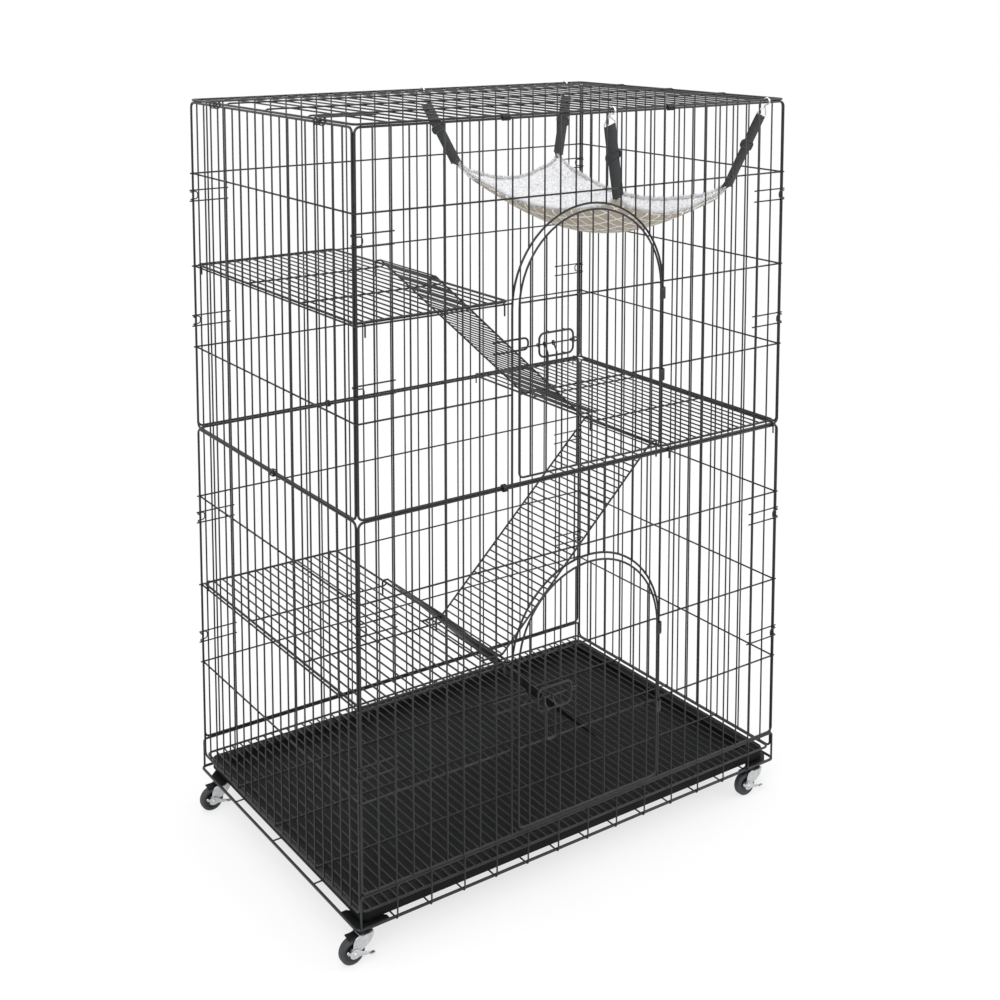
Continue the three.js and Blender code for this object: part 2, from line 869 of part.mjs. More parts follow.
function floorPanel() {
  const halfLength = cage.length / 2 - rod.rail - floorGrid.endGap;
  const halfDepth = cage.depth / 2 - halfRail - floorGrid.sideIn;
  const reach = Math.floor((halfLength - rod.rail) / floorGrid.pitch);
  const crossReach = cage.length / 2 - cage.gap;
  const frame = rounded(
    rectangle(-halfLength, halfLength, -halfDepth, halfDepth),
    floorGrid.bend,
    bend.steps,
    true,
  );
  const wires = [band("xy", frame, rod.rail, gridMiddle - halfRail, gridMiddle + halfRail, true)];
  for (let k = -reach; k <= reach; k++) {
    wires.push(barY(-halfDepth, halfDepth, k * floorGrid.pitch, gridMiddle, rod.upright));
  }
  for (const y of [-floorGrid.crossSpot, 0, floorGrid.crossSpot]) {
    const across = [y - rod.cross / 2, y + rod.cross / 2];
    wires.push(block(-crossReach, crossReach, ...across, gridTop - rod.cross, gridTop));
  }
  return joined(wires);
}

addPiece("floor_grid", floorPanel(), "wire");

// Shelves

const overCross = rod.cross / 2 + cage.gap + shelf.hookRod / 2;
const shelfHeights = {
  upper: tierBases.upper + levels.middle + overCross,
  middle: tierBases.upper + halfRail + cage.gap + shelf.hookRod / 2,
  lower: tierBases.lower + levels.middle + overCross,
};

function shelfPanel(side, z, legOut) {
  const far = cage.length / 2 - shelf.endGap;
  const inner = side * shelf.inner;
  const outer = side * far;
  const x = [Math.min(inner, outer), Math.max(inner, outer)];
  const depth = cage.depth / 2 - shelf.sideGap;
  const frame = rounded(rectangle(...x, -depth, depth), shelf.bend, bend.steps, true);
  const wires = [band("xy", frame, rod.rail, z - halfRail, z + halfRail, true)];
  for (let k = 1; k * shelf.pitch < far - shelf.inner - halfRail; k++) {
    wires.push(barY(-depth, depth, inner + side * k * shelf.pitch, z, rod.upright));
  }
  const low = z - crossOut;
  for (const y of [-shelf.crossSpot, shelf.crossSpot]) {
    wires.push(block(...x, y - rod.cross / 2, y + rod.cross / 2, low, low + rod.cross));
  }
  const half = shelf.hookRod / 2;
  const lastBay = Math.floor((far - shelf.bend - half) / longGrid.pitch - 1 / 2);
  for (const end of [-1, 1]) {
    for (const pitches of [arch.side + 1 / 2, lastBay + 1 / 2]) {
      const middle = side * pitches * longGrid.pitch;
      const line = [
        point(end * depth, z),
        point(end * legOut, z),
        point(end * legOut, z - shelf.hookDrop),
      ];
      wires.push(band("yz", line, shelf.hookRod, middle - half, middle + half));
    }
  }
  return joined(wires);
}

const legBetween = cage.depth / 2 + layerNear + shelf.hookRod / 2; // down between two uprights
const legOutside = cage.depth / 2 + halfRail + cage.gap + shelf.hookRod / 2;
addPiece("upper_shelf", shelfPanel(-1, shelfHeights.upper, legBetween), "wire");
addPiece("middle_shelf", shelfPanel(1, shelfHeights.middle, legOutside), "wire");
addPiece("lower_shelf", shelfPanel(-1, shelfHeights.lower, legBetween), "wire");

// Ramps

function rampPanel(fromX, fromZ, way, middleY, landing) {
  const half = ramp.rail / 2;
  const hookTop = Math.hypot(halfRail, halfRail) + ramp.hookPlay + half;
  const top = point(fromX + way * ramp.shoulder, fromZ + hookTop);
  const line = [
    point(fromX - way * ramp.hookSide, fromZ - ramp.tail),
    point(fromX - way * ramp.hookSide, fromZ + hookTop),
    top,
  ];
  let slopeEnd;
  if (landing.x === undefined) {
    const drop = top.y - landing.z - half - cage.gap;
    const run = Math.sqrt(ramp.long * ramp.long - drop * drop);
    slopeEnd = point(top.x + way * run, top.y - drop);
    line.push(slopeEnd);
  } else {
    slopeEnd = point(landing.x - way * ramp.footBack, landing.z + cage.gap + half);
    const foot = ramp.long - slopeEnd.distanceTo(top);
    line.push(slopeEnd, point(slopeEnd.x + way * foot, slopeEnd.y));
  }
  const rails = [-1, 1].map((side) => {
    const y = middleY + side * (ramp.wide / 2 - half);
    return band("xz", line, ramp.rail, y - half, y + half);
  });
  const slope = slopeEnd.clone().sub(top);
  const count = Math.floor((slope.length() - ramp.firstRung) / ramp.rungPitch);
  const rungs = [
    barY(middleY - ramp.wide / 2 + half, middleY + ramp.wide / 2 - half, top.x, top.y, ramp.rung),
  ];
  for (let i = 0; i <= count; i++) {
    const spot = top.clone().addScaledVector(slope, (ramp.firstRung + i * ramp.rungPitch) / slope.length());
    rungs.push(
      barY(middleY - ramp.wide / 2 + half, middleY + ramp.wide / 2 - half, spot.x, spot.y, ramp.rung),
    );
  }
  return joined([...rails, ...rungs]);
}

addPiece(
  "upper_ramp",
  rampPanel(-shelf.inner, shelfHeights.upper, 1, ramp.centres[0], {
    x: shelf.inner,
    z: shelfHeights.middle + halfRail,
  }),
  "wire",
);
addPiece(
  "middle_ramp",
  rampPanel(shelf.inner, shelfHeights.middle, -1, ramp.centres[1], {
    x: -shelf.inner,
    z: shelfHeights.lower + halfRail,
  }),
  "wire",
);
addPiece(
  "lower_ramp",
  rampPanel(-shelf.inner, shelfHeights.lower, 1, ramp.centres[2], { z: gridTop }),
  "wire",
);

// Casters: each hangs from a three-cornered plate in a corner of the lower rail

function casterBracket(x, y) {
  const endX = Math.sign(x);
  const endY = Math.sign(y);
  const cornerX = endX * (baseHalf - halfBase - cage.gap);
  const cornerY = endY * (cage.depth / 2 - halfBase - cage.gap);
  const { plateTip, plateTop, plateThick, plateNear, neckTall, neckR, bossR } = caster;
  const toCorner = Math.abs(cornerX - x) + Math.abs(cornerY - y);
  const plateLeg = Math.max(caster.plateLeg, toCorner + bossR);
  const plateCut = Math.max(base.railBend / 2, toCorner - plateNear);
  const outline = [
    point(cornerX - endX * plateCut, cornerY),
    point(cornerX - endX * plateLeg, cornerY),
    point(cornerX - endX * plateLeg, cornerY - endY * plateTip),
    point(cornerX - endX * plateTip, cornerY - endY * plateLeg),
    point(cornerX, cornerY - endY * plateLeg),
    point(cornerX, cornerY - endY * plateCut),
  ];
  const low = plateTop - plateThick;
  const bossTop = low - neckTall;
  return joined([
    plate("xy", outline, low, plateTop),
    plate("xy", circle(x, y, neckR, ringSides), bossTop - cage.gap, low + cage.gap),
    plate("xy", circle(x, y, bossR, caster.sides), caster.crownTop + cage.gap, bossTop),
  ]);
}

function casterFork(x, y) {
  const { crownHalf, crownTop, crownThick, cheek, cheekGap, wheelWide, trail, wheelR, axle } = caster;
  const inner = wheelWide / 2 + cheekGap;
  const outer = inner + cheek;
  const low = crownTop - crownThick;
  const axleX = x - trail;
  const side = [
    point(x + crownHalf, crownTop),
    point(x - crownHalf, crownTop),
    point(axleX - axle - cheek, wheelR + axle),
    point(axleX - axle, wheelR - axle - cheek),
    point(axleX + axle + cheek, wheelR - axle - cheek),
    point(x + crownHalf - cheek, low - crownHalf / 2),
  ];
  const pin = circle(axleX, wheelR, axle, caster.sides / 2);
  return joined([
    block(x - crownHalf, x + crownHalf, y - outer, y + outer, low, crownTop),
    plate("xz", side, y - outer, y - inner),
    plate("xz", side, y + inner, y + outer),
    plate("xz", pin, y - outer - caster.axleOut, y + outer + cheekGap),
  ]);
}

function casterWheel(x, y) {
  const { wheelR, wheelWide, chamfer, bore, sides } = caster;
  const flatR = wheelR / Math.cos(Math.PI / sides); // so that a flat of the tread reaches the floor
  const half = wheelWide / 2;
  const profile = [
    point(bore, -half),
    point(flatR - chamfer, -half),
    point(flatR, -half + chamfer),
    point(flatR, half - chamfer),
    point(flatR - chamfer, half),
    point(bore, half),
    point(bore, -half),
  ];
  const wheel = new THREE.LatheGeometry(profile, sides, Math.PI / sides);
  wheel.translate(x - caster.trail, y, wheelR);
  return solidOf(wheel);
}

function brakeLever(x, y) {
  const { trail, wheelR, axle, leverHalf, leverReach, leverDrop, leverThick, cheek } = caster;
  const axleX = x - trail;
  const outer = caster.wheelWide / 2 + caster.cheekGap + cheek;
  const far = y - outer - cage.gap;
  const near = far - leverThick;
  const play = axle + 2 * cage.gap;
  const arm = [
    point(axleX - leverHalf - axle, wheelR - leverHalf),
    point(axleX + leverHalf, wheelR - leverHalf - axle),
    point(axleX + leverReach, wheelR - leverDrop - caster.treadThick),
    point(axleX + leverReach, wheelR - leverDrop),
    point(axleX + leverHalf + axle, wheelR + leverHalf - axle / 2),
    point(axleX, wheelR + leverHalf + axle),
    point(axleX - leverHalf - axle, wheelR + leverHalf),
  ];
  const tread = block(
    axleX + leverReach - leverHalf * 2,
    axleX + leverReach,
    near - caster.treadWide + outer,
    near + cage.gap,
    wheelR - leverDrop - caster.treadThick,
    wheelR - leverDrop,
  );
  const hole = plate("xz", circle(axleX, wheelR, play, ringSides), near - outer, far + outer);
  return plate("xz", arm, near, far).add(tread).subtract(hole);
}

const [casterLeft, casterRight] = swivelSpots;
const casterFront = caster.frontIn - cage.depth / 2;
const casterBack = cage.depth / 2 - caster.backIn;
const casterSpots = {
  front_left: [casterLeft, casterFront],
  front_right: [casterRight, casterFront],
  back_left: [casterLeft, casterBack],
  back_right: [casterRight, casterBack],
};
for (const [corner, [x, y]] of Object.entries(casterSpots)) {
  addPiece(`${corner}_caster_bracket`, casterBracket(x, y), "wire");
  addPiece(`${corner}_caster_fork`, casterFork(x, y), "zinc");
  addPiece(`${corner}_caster_wheel`, casterWheel(x, y), "rubber");
  addPiece(`${corner}_brake_lever`, brakeLever(x, y), "zinc");
}

// Hammock

const hookRight = cage.length / 2 - hammock.hookRightIn;
const hammockHalfWide = (hookRight - hammock.hookLeft) / 2 - hammock.cornerIn;
const hammockHalfLong = cage.depth / 2 - hammock.cornerBack;
const hammockX = (hammock.hookLeft + hookRight) / 2;

function clothSurface(u, v) {
  const across = 1 - u * u;
  const along = 1 - v * v;
  const dropShare = (v + 1) / 2;
  const drop = hammock.frontDrop + (hammock.backDrop - hammock.frontDrop) * dropShare;
  const sag = hammock.sagWide * across + hammock.sagLong * along + hammock.sagMiddle * across * along;
  const corner = Math.pow(Math.abs(u * v), 2);
  const ripple = hammock.fold * corner * Math.cos((hammock.folds * Math.PI * (u * u - v * v)) / 1);
  return new THREE.Vector3(
    hammockX + u * (hammockHalfWide - hammock.tuckWide * along),
    v * (hammockHalfLong - hammock.tuckLong * across),
    roofHigh - drop - sag + ripple - hammock.fold,
  );
}

function hammockCloth() {
  const { cellsWide, cellsLong, clothThick } = hammock;
  const spots = [];
  for (const layer of [0, 1]) {
    for (let j = 0; j <= cellsLong; j++) {
      for (let i = 0; i <= cellsWide; i++) {
        const spot = clothSurface((2 * i) / cellsWide - 1, (2 * j) / cellsLong - 1);
        spots.push(spot.x, spot.y, spot.z - layer * clothThick);
      }
    }
  }
  const perRow = cellsWide + 1;
  const perLayer = perRow * (cellsLong + 1);
  const faces = [];
  const at = (layer, i, j) => layer * perLayer + j * perRow + i;
  for (let j = 0; j < cellsLong; j++) {
    for (let i = 0; i < cellsWide; i++) {
      const top = [at(0, i, j), at(0, i + 1, j), at(0, i + 1, j + 1), at(0, i, j + 1)];
      const low = top.map((n) => n + perLayer);
      faces.push(top[0], top[1], top[2], top[0], top[2], top[3]);
      faces.push(low[0], low[2], low[1], low[0], low[3], low[2]);
    }
  }
  const rimLoop = [];
  for (let i = 0; i < cellsWide; i++) rimLoop.push(at(0, i, 0));
  for (let j = 0; j < cellsLong; j++) rimLoop.push(at(0, cellsWide, j));
  for (let i = cellsWide; i > 0; i--) rimLoop.push(at(0, i, cellsLong));
  for (let j = cellsLong; j > 0; j--) rimLoop.push(at(0, 0, j));
  rimLoop.forEach((a, n) => {
    const b = rimLoop[(n + 1) % rimLoop.length];
    faces.push(a, a + perLayer, b + perLayer, a, b + perLayer, b);
  });
  const cloth = new THREE.BufferGeometry();
  cloth.setAttribute("position", new THREE.Float32BufferAttribute(spots, 3));
  cloth.setIndex(faces);
  return solidOf(cloth);
}

addPiece("hammock_cloth", hammockCloth(), "plush");

function strapEnds(left, front) {
  const wayX = left ? 1 : -1;
  const wayY = front ? 1 : -1;
  const hookX = left ? hammock.hookLeft : hookRight;
  const hookY = -wayY * (cage.depth / 2);
  const top = new THREE.Vector3(
    hookX + wayX * hammock.strapTopIn,
    hookY + wayY * hammock.strapTopBack,
    roofHigh - hammock.strapTopDrop,
  );
  const corner = clothSurface(-wayX, -wayY);
  const up = top.clone().sub(corner).normalize();
  const end = corner.clone().addScaledVector(up, hammock.strapEndGap);
  return { top, end, up, hookX, hookY };
}

// A frame at the strap's top whose third axis runs up the strap and whose first lies near X
function strapFrame({ top, up }) {
  const wide = new THREE.Vector3(1, 0, 0).addScaledVector(up, -up.x).normalize();
  const thick = up.clone().cross(wide);
  return new THREE.Matrix4().makeBasis(wide, thick, up).setPosition(top);
}

function moved(geometry, matrix) {
  return solidOf(geometry.applyMatrix4(matrix));
}

function strap(spot) {
  const long = spot.top.distanceTo(spot.end);
  const box = new THREE.BoxGeometry(hammock.strapWide, hammock.strapThick, long);
  return moved(box.translate(0, 0, -long / 2), strapFrame(spot));
}

function strapBuckle(spot) {
  const long = spot.top.distanceTo(spot.end);
  const middle = -long * hammock.buckleShare;
  const { buckleWide, buckleThick, buckleTall, strapWide, strapThick } = hammock;
  const outer = new THREE.BoxGeometry(buckleWide, buckleThick, buckleTall).translate(0, 0, middle);
  const slot = new THREE.BoxGeometry(
    strapWide + 2 * cage.gap,
    strapThick + 2 * cage.gap,
    buckleTall * 2,
  ).translate(0, 0, middle);
  return moved(outer, strapFrame(spot)).subtract(moved(slot, strapFrame(spot)));
}

function snapHook(spot) {
  const { hookRod, bailHalf, bailNeck, bailTall } = hammock;
  const lift = cage.gap + hookRod / 2;
  const bail = [
    point(-bailHalf, lift),
    point(bailHalf, lift),
    point(bailNeck, lift + bailTall),
    point(-bailNeck, lift + bailTall),
  ];
  // drawn in X and Y, then stood up along the strap
  const geometry = strip(bail, hookRod, -hookRod / 2, hookRod / 2, true).rotateX(Math.PI / 2);
  const apex = spot.top.clone().addScaledVector(spot.up, lift + bailTall);
  const { ringInner, ringWall } = hammock;
  const wallIn = ringInner + ringWall / 2;
  const low = new THREE.Vector3(
    spot.hookX,
    spot.hookY - Math.sign(spot.hookY) * wallIn * Math.SQRT1_2,
    stackMiddle - wallIn * Math.SQRT1_2,
  );
  const half = hookRod / 2;
  return joined([
    moved(geometry, strapFrame(spot)),
    between(apex, low, hookRod),
    ring("yz", spot.hookY, stackMiddle, ringInner, ringWall, spot.hookX - half, spot.hookX + half),
  ]);
}

for (const [depth, front] of [["front", true], ["back", false]]) {
  for (const [side, left] of [["left", true], ["right", false]]) {
    const spot = strapEnds(left, front);
    addPiece(`${depth}_${side}_snap_hook`, snapHook(spot), "silver");
    addPiece(`${depth}_${side}_strap`, strap(spot), "webbing");
    addPiece(`${depth}_${side}_strap_buckle`, strapBuckle(spot), "plastic");
  }
}

// The origin lies on the floor, under the middle of the whole part's box.
const part = new THREE.Group();
part.add(root);
const box = new THREE.Box3().setFromObject(root);
root.position.set(-(box.min.x + box.max.x) / 2, -(box.min.y + box.max.y) / 2, -box.min.z);

export default part;
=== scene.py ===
import bpy
import json
import math
import random
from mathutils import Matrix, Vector, noise


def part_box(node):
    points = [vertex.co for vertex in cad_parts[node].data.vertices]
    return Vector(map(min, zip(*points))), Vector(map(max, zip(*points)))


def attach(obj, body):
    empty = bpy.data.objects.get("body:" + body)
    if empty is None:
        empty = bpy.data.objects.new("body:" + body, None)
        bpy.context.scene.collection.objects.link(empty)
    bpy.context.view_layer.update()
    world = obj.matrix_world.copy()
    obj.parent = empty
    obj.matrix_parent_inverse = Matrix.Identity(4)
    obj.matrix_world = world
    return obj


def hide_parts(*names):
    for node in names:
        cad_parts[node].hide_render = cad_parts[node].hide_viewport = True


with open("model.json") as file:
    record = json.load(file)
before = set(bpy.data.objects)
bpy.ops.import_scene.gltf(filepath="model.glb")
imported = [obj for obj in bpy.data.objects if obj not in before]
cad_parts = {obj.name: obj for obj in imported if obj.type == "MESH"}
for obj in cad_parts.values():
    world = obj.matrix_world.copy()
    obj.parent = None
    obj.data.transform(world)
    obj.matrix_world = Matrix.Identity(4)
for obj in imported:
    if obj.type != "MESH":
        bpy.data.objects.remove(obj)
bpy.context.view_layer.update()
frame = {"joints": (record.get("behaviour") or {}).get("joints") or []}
mm = 0.001
sides = (-1, 1)  # left and right, or front and back
fineEdge, softEdge = 0.3 * mm, 0.5 * mm  # bevels round plates


def vec(x, y, z):
    return Vector((x, y, z))


alongX, alongY, alongZ = vec(1, 0, 0), vec(0, 1, 0), vec(0, 0, 1)


def bothWays(reach):
    return range(-reach, reach + 1)


# round wires, flat plates and turned forms, from which every piece is drawn
def newShape():
    return {"verts": [], "faces": [], "mats": [], "uvs": {}}


def addFace(shape, corners, mat=0, uvs=None):
    if uvs:
        shape["uvs"][len(shape["faces"])] = uvs
    shape["faces"].append(tuple(corners))
    shape["mats"].append(mat)


# one ring of points, from which tubes and turned forms are made
def addRing(shape, centre, across, upward, radius, count):
    start = len(shape["verts"])
    for k in range(count):
        turn = 2 * math.pi * k / count
        shape["verts"].append(centre + (across * math.cos(turn) + upward * math.sin(turn)) * radius)
    return start


# walls from ring to ring, with flat ends unless the last ring meets the first
def addWalls(shape, rings, count, closed=False, mat=0):
    for i in range(len(rings) if closed else len(rings) - 1):
        a, b = rings[i], rings[(i + 1) % len(rings)]
        for k in range(count):
            n = (k + 1) % count
            addFace(shape, (a + k, a + n, b + n, b + k), mat)
    if not closed:
        addFace(shape, [rings[0] + k for k in reversed(range(count))], mat)
        addFace(shape, [rings[-1] + k for k in range(count)], mat)


# softly rounded ends of the wires, as shares of their radius
wireTip = {"long": 0.55, "wide": 0.6}


def addTube(shape, path, radius, closed=False, count=10, tips=True):
    last = len(path) - 1
    rings = []
    across = None
    for i, here in enumerate(path):
        before = path[i - 1] if closed or i else here
        after = path[(i + 1) % len(path)] if closed or i < last else here
        along = (after - before).normalized()
        if across is None:
            across = along.orthogonal().normalized()
        across = (across - along * across.dot(along)).normalized()
        upward = along.cross(across)
        spots = [(here, radius)]
        tip = along * radius * wireTip["long"]
        if tips and not closed and i == 0:
            spots.insert(0, (here - tip, radius * wireTip["wide"]))
        if tips and not closed and i == last:
            spots.append((here + tip, radius * wireTip["wide"]))
        rings += [addRing(shape, spot, across, upward, wide, count) for spot, wide in spots]
    addWalls(shape, rings, count, closed)


# corners of a path turned into arcs
def rounded(points, radius, closed=False, steps=6):
    out = []
    for i, corner in enumerate(points):
        if not closed and i in (0, len(points) - 1):
            out.append(corner.copy())
            continue
        back = points[i - 1] - corner
        ahead = points[(i + 1) % len(points)] - corner
        room = min(back.length, ahead.length) / 2
        back.normalize()
        ahead.normalize()
        half = back.angle(ahead) / 2
        if half > math.radians(89):
            out.append(corner.copy())
            continue
        tangent = min(radius / math.tan(half), room)
        centre = corner + (back + ahead).normalized() * (tangent / math.cos(half))
        first = corner + back * tangent - centre
        last = corner + ahead * tangent - centre
        turn = first.angle(last)
        for k in range(steps + 1):
            share = k / steps
            spot = first * math.sin((1 - share) * turn) + last * math.sin(share * turn)
            out.append(centre + spot / math.sin(turn))
    return out


# a wire ring that stands across the x axis
def addHoop(shape, centre, radius, rod, count=10, steps=24):
    turns = [2 * math.pi * k / steps for k in range(steps)]
    path = [centre + vec(0, math.cos(turn), math.sin(turn)) * radius for turn in turns]
    addTube(shape, path, rod, closed=True, count=count)


# a flat outline made thick, with a small bevel round both faces
def addPlate(shape, outline, normal, thick, bevel):
    count = len(outline)
    middle = sum(outline, Vector()) / count
    turned = Vector()
    for i, spot in enumerate(outline):
        turned += (outline[i - 1] - middle).cross(spot - middle)
    if turned.dot(normal) < 0:
        outline = list(reversed(outline))
    half = thick / 2
    rings = []
    for height, inset in ((-half, bevel), (bevel - half, 0), (half - bevel, 0), (half, bevel)):
        rings.append(len(shape["verts"]))
        for i, spot in enumerate(outline):
            before = (spot - outline[i - 1]).normalized()
            after = (outline[(i + 1) % count] - spot).normalized()
            inward = (normal.cross(before) + normal.cross(after)).normalized()
            shape["verts"].append(spot + inward * inset + normal * height)
    addWalls(shape, rings, count)


# a turned form: radius and place along an axis
def addTurned(shape, centre, axis, profile, count=48, mat=0, closed=False):
    across = axis.orthogonal().normalized()
    upward = axis.cross(across)
    rings = []
    for radius, place in profile:
        rings.append(addRing(shape, centre + axis * place, across, upward, radius, count))
    addWalls(shape, rings, count, closed, mat)


def makePiece(name, shape, materials, body, nodes, sharp=40):
    mesh = bpy.data.meshes.new(name)
    mesh.from_pydata([tuple(v) for v in shape["verts"]], [], shape["faces"])
    for material in materials:
        mesh.materials.append(material)
    mesh.polygons.foreach_set("material_index", shape["mats"])
    if shape["uvs"]:
        layer = mesh.uv_layers.new(name="lay")
        for face, corners in shape["uvs"].items():
            for loop, spot in zip(mesh.polygons[face].loop_indices, corners):
                layer.data[loop].uv = spot
    mesh.shade_smooth()
    mesh.set_sharp_from_angle(angle=math.radians(sharp))
    mesh.validate()
    piece = bpy.data.objects.new(name, mesh)
    bpy.context.scene.collection.objects.link(piece)
    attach(piece, body)
    if nodes:
        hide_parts(*nodes)
    return piece


def wirePiece(name, shape, body="root", nodes=()):
    makePiece(name, shape, [finish["wire"]], body, nodes)


def linear(code):
    values = [int(code[i : i + 2], 16) / 255 for i in (1, 3, 5)]
    return tuple(v / 12.92 if v <= 0.04045 else ((v + 0.055) / 1.055) ** 2.4 for v in values) + (1.0,)


# values and links for a node's sockets
def setSockets(tree, node, sockets):
    for socket, value in sockets.items():
        if isinstance(value, bpy.types.NodeSocket):
            tree.links.new(value, node.inputs[socket])
        else:
            node.inputs[socket].default_value = value


def newNode(tree, kind, sockets):
    node = tree.nodes.new(kind)
    setSockets(tree, node, sockets)
    return node


def mathNode(tree, operation, *values):
    node = newNode(tree, "ShaderNodeMath", dict(enumerate(values)))
    node.operation = operation
    return node.outputs["Value"]


def newFinish(name, roughness, metallic=0.0):
    material = bpy.data.materials.new(name)
    material.use_nodes = True
    tree = material.node_tree
    shader = tree.nodes["Principled BSDF"]
    setSockets(tree, shader, {"Roughness": roughness, "Metallic": metallic})
    return material, tree, shader, tree.nodes.new("ShaderNodeTexCoord").outputs


def grain(tree, place, scale, detail=4.0):
    sockets = {"Scale": scale, "Detail": detail, "Vector": place["Object"]}
    return newNode(tree, "ShaderNodeTexNoise", sockets).outputs["Fac"]


# a colour that wanders between two tones
def mottle(tree, factor, dark, light, low=0.3, high=0.7):
    ramp = newNode(tree, "ShaderNodeValToRGB", {"Fac": factor})
    for stop, position, tone in zip(ramp.color_ramp.elements, (low, high), (dark, light)):
        stop.position = position
        stop.color = linear(tone)
    return ramp.outputs["Color"]


def addBump(tree, shader, height, strength, depth, under=None):
    sockets = {"Strength": strength, "Distance": depth, "Height": height}
    if under:
        sockets["Normal"] = under.outputs["Normal"]
    bump = newNode(tree, "ShaderNodeBump", sockets)
    setSockets(tree, shader, {"Normal": bump.outputs["Normal"]})
    return bump


# a solid finish: its two tones and their scale; its relief's scale, detail, strength and depth in
# metres; its roughness, and the scale and limits between which that wanders
def solidFinish(name, tones, scale, relief, rough, wander=None, metallic=0.0, specular=0.5):
    material, tree, shader, place = newFinish(name, rough, metallic)
    sockets = {"Base Color": mottle(tree, grain(tree, place, scale), *tones), "Specular IOR Level": specular}
    reliefScale, detail, strength, depth = relief
    addBump(tree, shader, grain(tree, place, reliefScale, detail), strength, depth)
    if wander:
        spread = {"Value": grain(tree, place, wander[0]), "To Min": wander[1], "To Max": wander[2]}
        sockets["Roughness"] = newNode(tree, "ShaderNodeMapRange", spread).outputs["Result"]
    setSockets(tree, shader, sockets)
    return material


# ribs of a woven strap, along and across the lay of its mesh
weave = {"rib": 1.15, "pick": 0.85}


def wovenStrap():
    material, tree, shader, place = newFinish("wovenStrap", 0.88)
    ribs = []
    for pitch, way in ((weave["rib"], "X"), (weave["pick"], "Y")):
        sockets = {"Scale": math.pi / (20 * pitch * mm), "Distortion": 0.4, "Vector": place["UV"]}
        wave = newNode(tree, "ShaderNodeTexWave", sockets)
        wave.bands_direction = way
        ribs.append(wave.outputs["Fac"])
    relief = mathNode(tree, "MULTIPLY", *ribs)
    # the colour follows the weave's relief: painted shade darkens its grooves, and its ribs are painted
    # lighter
    tone = mottle(tree, relief, "#242527", "#3e3f42", 0, 1)
    addBump(tree, shader, relief, 0.8, 0.0004)
    setSockets(tree, shader, {"Base Color": tone, "Sheen Weight": 0.15})
    return material


def curlPlush():
    material, tree, shader, place = newFinish("curlPlush", 0.97)
    sockets = {"Scale": 230, "Vector": place["Object"]}
    curl = newNode(tree, "ShaderNodeTexVoronoi", sockets).outputs["Distance"]
    # the colour darkens where the curls' relief is low, which is painted shade in the hollows between the
    # curls, with a coarse grain of tone that wanders at random
    depth = mathNode(tree, "MULTIPLY_ADD", grain(tree, place, 60), 0.5, curl)
    tone = mottle(tree, depth, "#eeeeef", "#cfcfd1", 0.3, 0.95)
    fine = addBump(tree, shader, grain(tree, place, 650, 5.0), 0.5, 0.0012)
    addBump(tree, shader, curl, 0.55, 0.0022, under=fine).invert = True
    setSockets(tree, shader, {"Base Color": tone, "Sheen Weight": 0.4, "Sheen Roughness": 0.5})
    return material


# beige cloth quilted in squares by white lines, drawn on the lay of the mesh
lattice = {"pitch": 29, "line": 3.0, "soft": 0.6, "puff": 1.6}


def latticeCloth():
    material, tree, shader, place = newFinish("latticeCloth", 0.9)
    split = newNode(tree, "ShaderNodeSeparateXYZ", {"Vector": place["UV"]}).outputs
    ways = [mathNode(tree, "PINGPONG", split[way], lattice["pitch"] * mm / 2) for way in "XY"]
    nearer = mathNode(tree, "MINIMUM", *ways)
    line = lattice["line"] * mm / 2
    sockets = {"Value": nearer, "From Min": line, "From Max": line + lattice["soft"] * mm}
    edge = newNode(tree, "ShaderNodeMapRange", sockets).outputs["Result"]
    threads = grain(tree, place, 420, 3.0)
    sockets = {"Factor": edge, "A": linear("#f6f3ee"), "B": mottle(tree, threads, "#aa9f8f", "#c4b9a8")}
    mix = tree.nodes.new("ShaderNodeMix")
    mix.data_type = "RGBA"
    setSockets(tree, mix, sockets)
    setSockets(tree, shader, {"Base Color": mix.outputs["Result"]})
    fine = addBump(tree, shader, threads, 0.35, 0.0004)
    addBump(tree, shader, edge, 0.6, lattice["puff"] * mm, under=fine)
    return material


def powderCoat():
    relief, wander = (1400, 2, 0.25, 0.0002), (35, 0.3, 0.42)
    return solidFinish("powderCoat", ("#0f1011", "#1a1b1c"), 90, relief, 0.42, wander, specular=0.45)


def pressedPlate():
    relief = (1100, 4, 0.2, 0.0002)
    return solidFinish("pressedPlate", ("#060607", "#0e0f10"), 60, relief, 0.5, specular=0.2)


def trayPlastic():
    relief, wander = (900, 3, 0.35, 0.0004), (5, 0.5, 0.66)
    return solidFinish("trayPlastic", ("#0b0c0d", "#131415"), 9, relief, 0.55, wander, specular=0.16)


def zincSheet():
    relief, wander = (700, 4, 0.12, 0.0002), (240, 0.3, 0.46)
    return solidFinish("zincSheet", ("#b4b6b8", "#cfd1d2"), 160, relief, 0.36, wander, metallic=0.85)


def brightWire():
    relief = (900, 4, 0.08, 0.0001)
    return solidFinish("brightWire", ("#c6c8ca", "#e4e5e6"), 120, relief, 0.2, metallic=1.0)


def treadRubber():
    return solidFinish("treadRubber", ("#2c2d30", "#3a3b3e"), 70, (1300, 4, 0.3, 0.0002), 0.62)


def hubPlastic():
    return solidFinish("hubPlastic", ("#141516", "#1d1e20"), 50, (1500, 4, 0.15, 0.0001), 0.4)


finish = {
    "wire": powderCoat(),
    "plate": pressedPlate(),
    "tray": trayPlastic(),
    "zinc": zincSheet(),
    "bright": brightWire(),
    "tread": treadRubber(),
    "hub": hubPlastic(),
    "strap": wovenStrap(),
    "plush": curlPlush(),
    "lattice": latticeCloth(),
}
print("finishes ready")

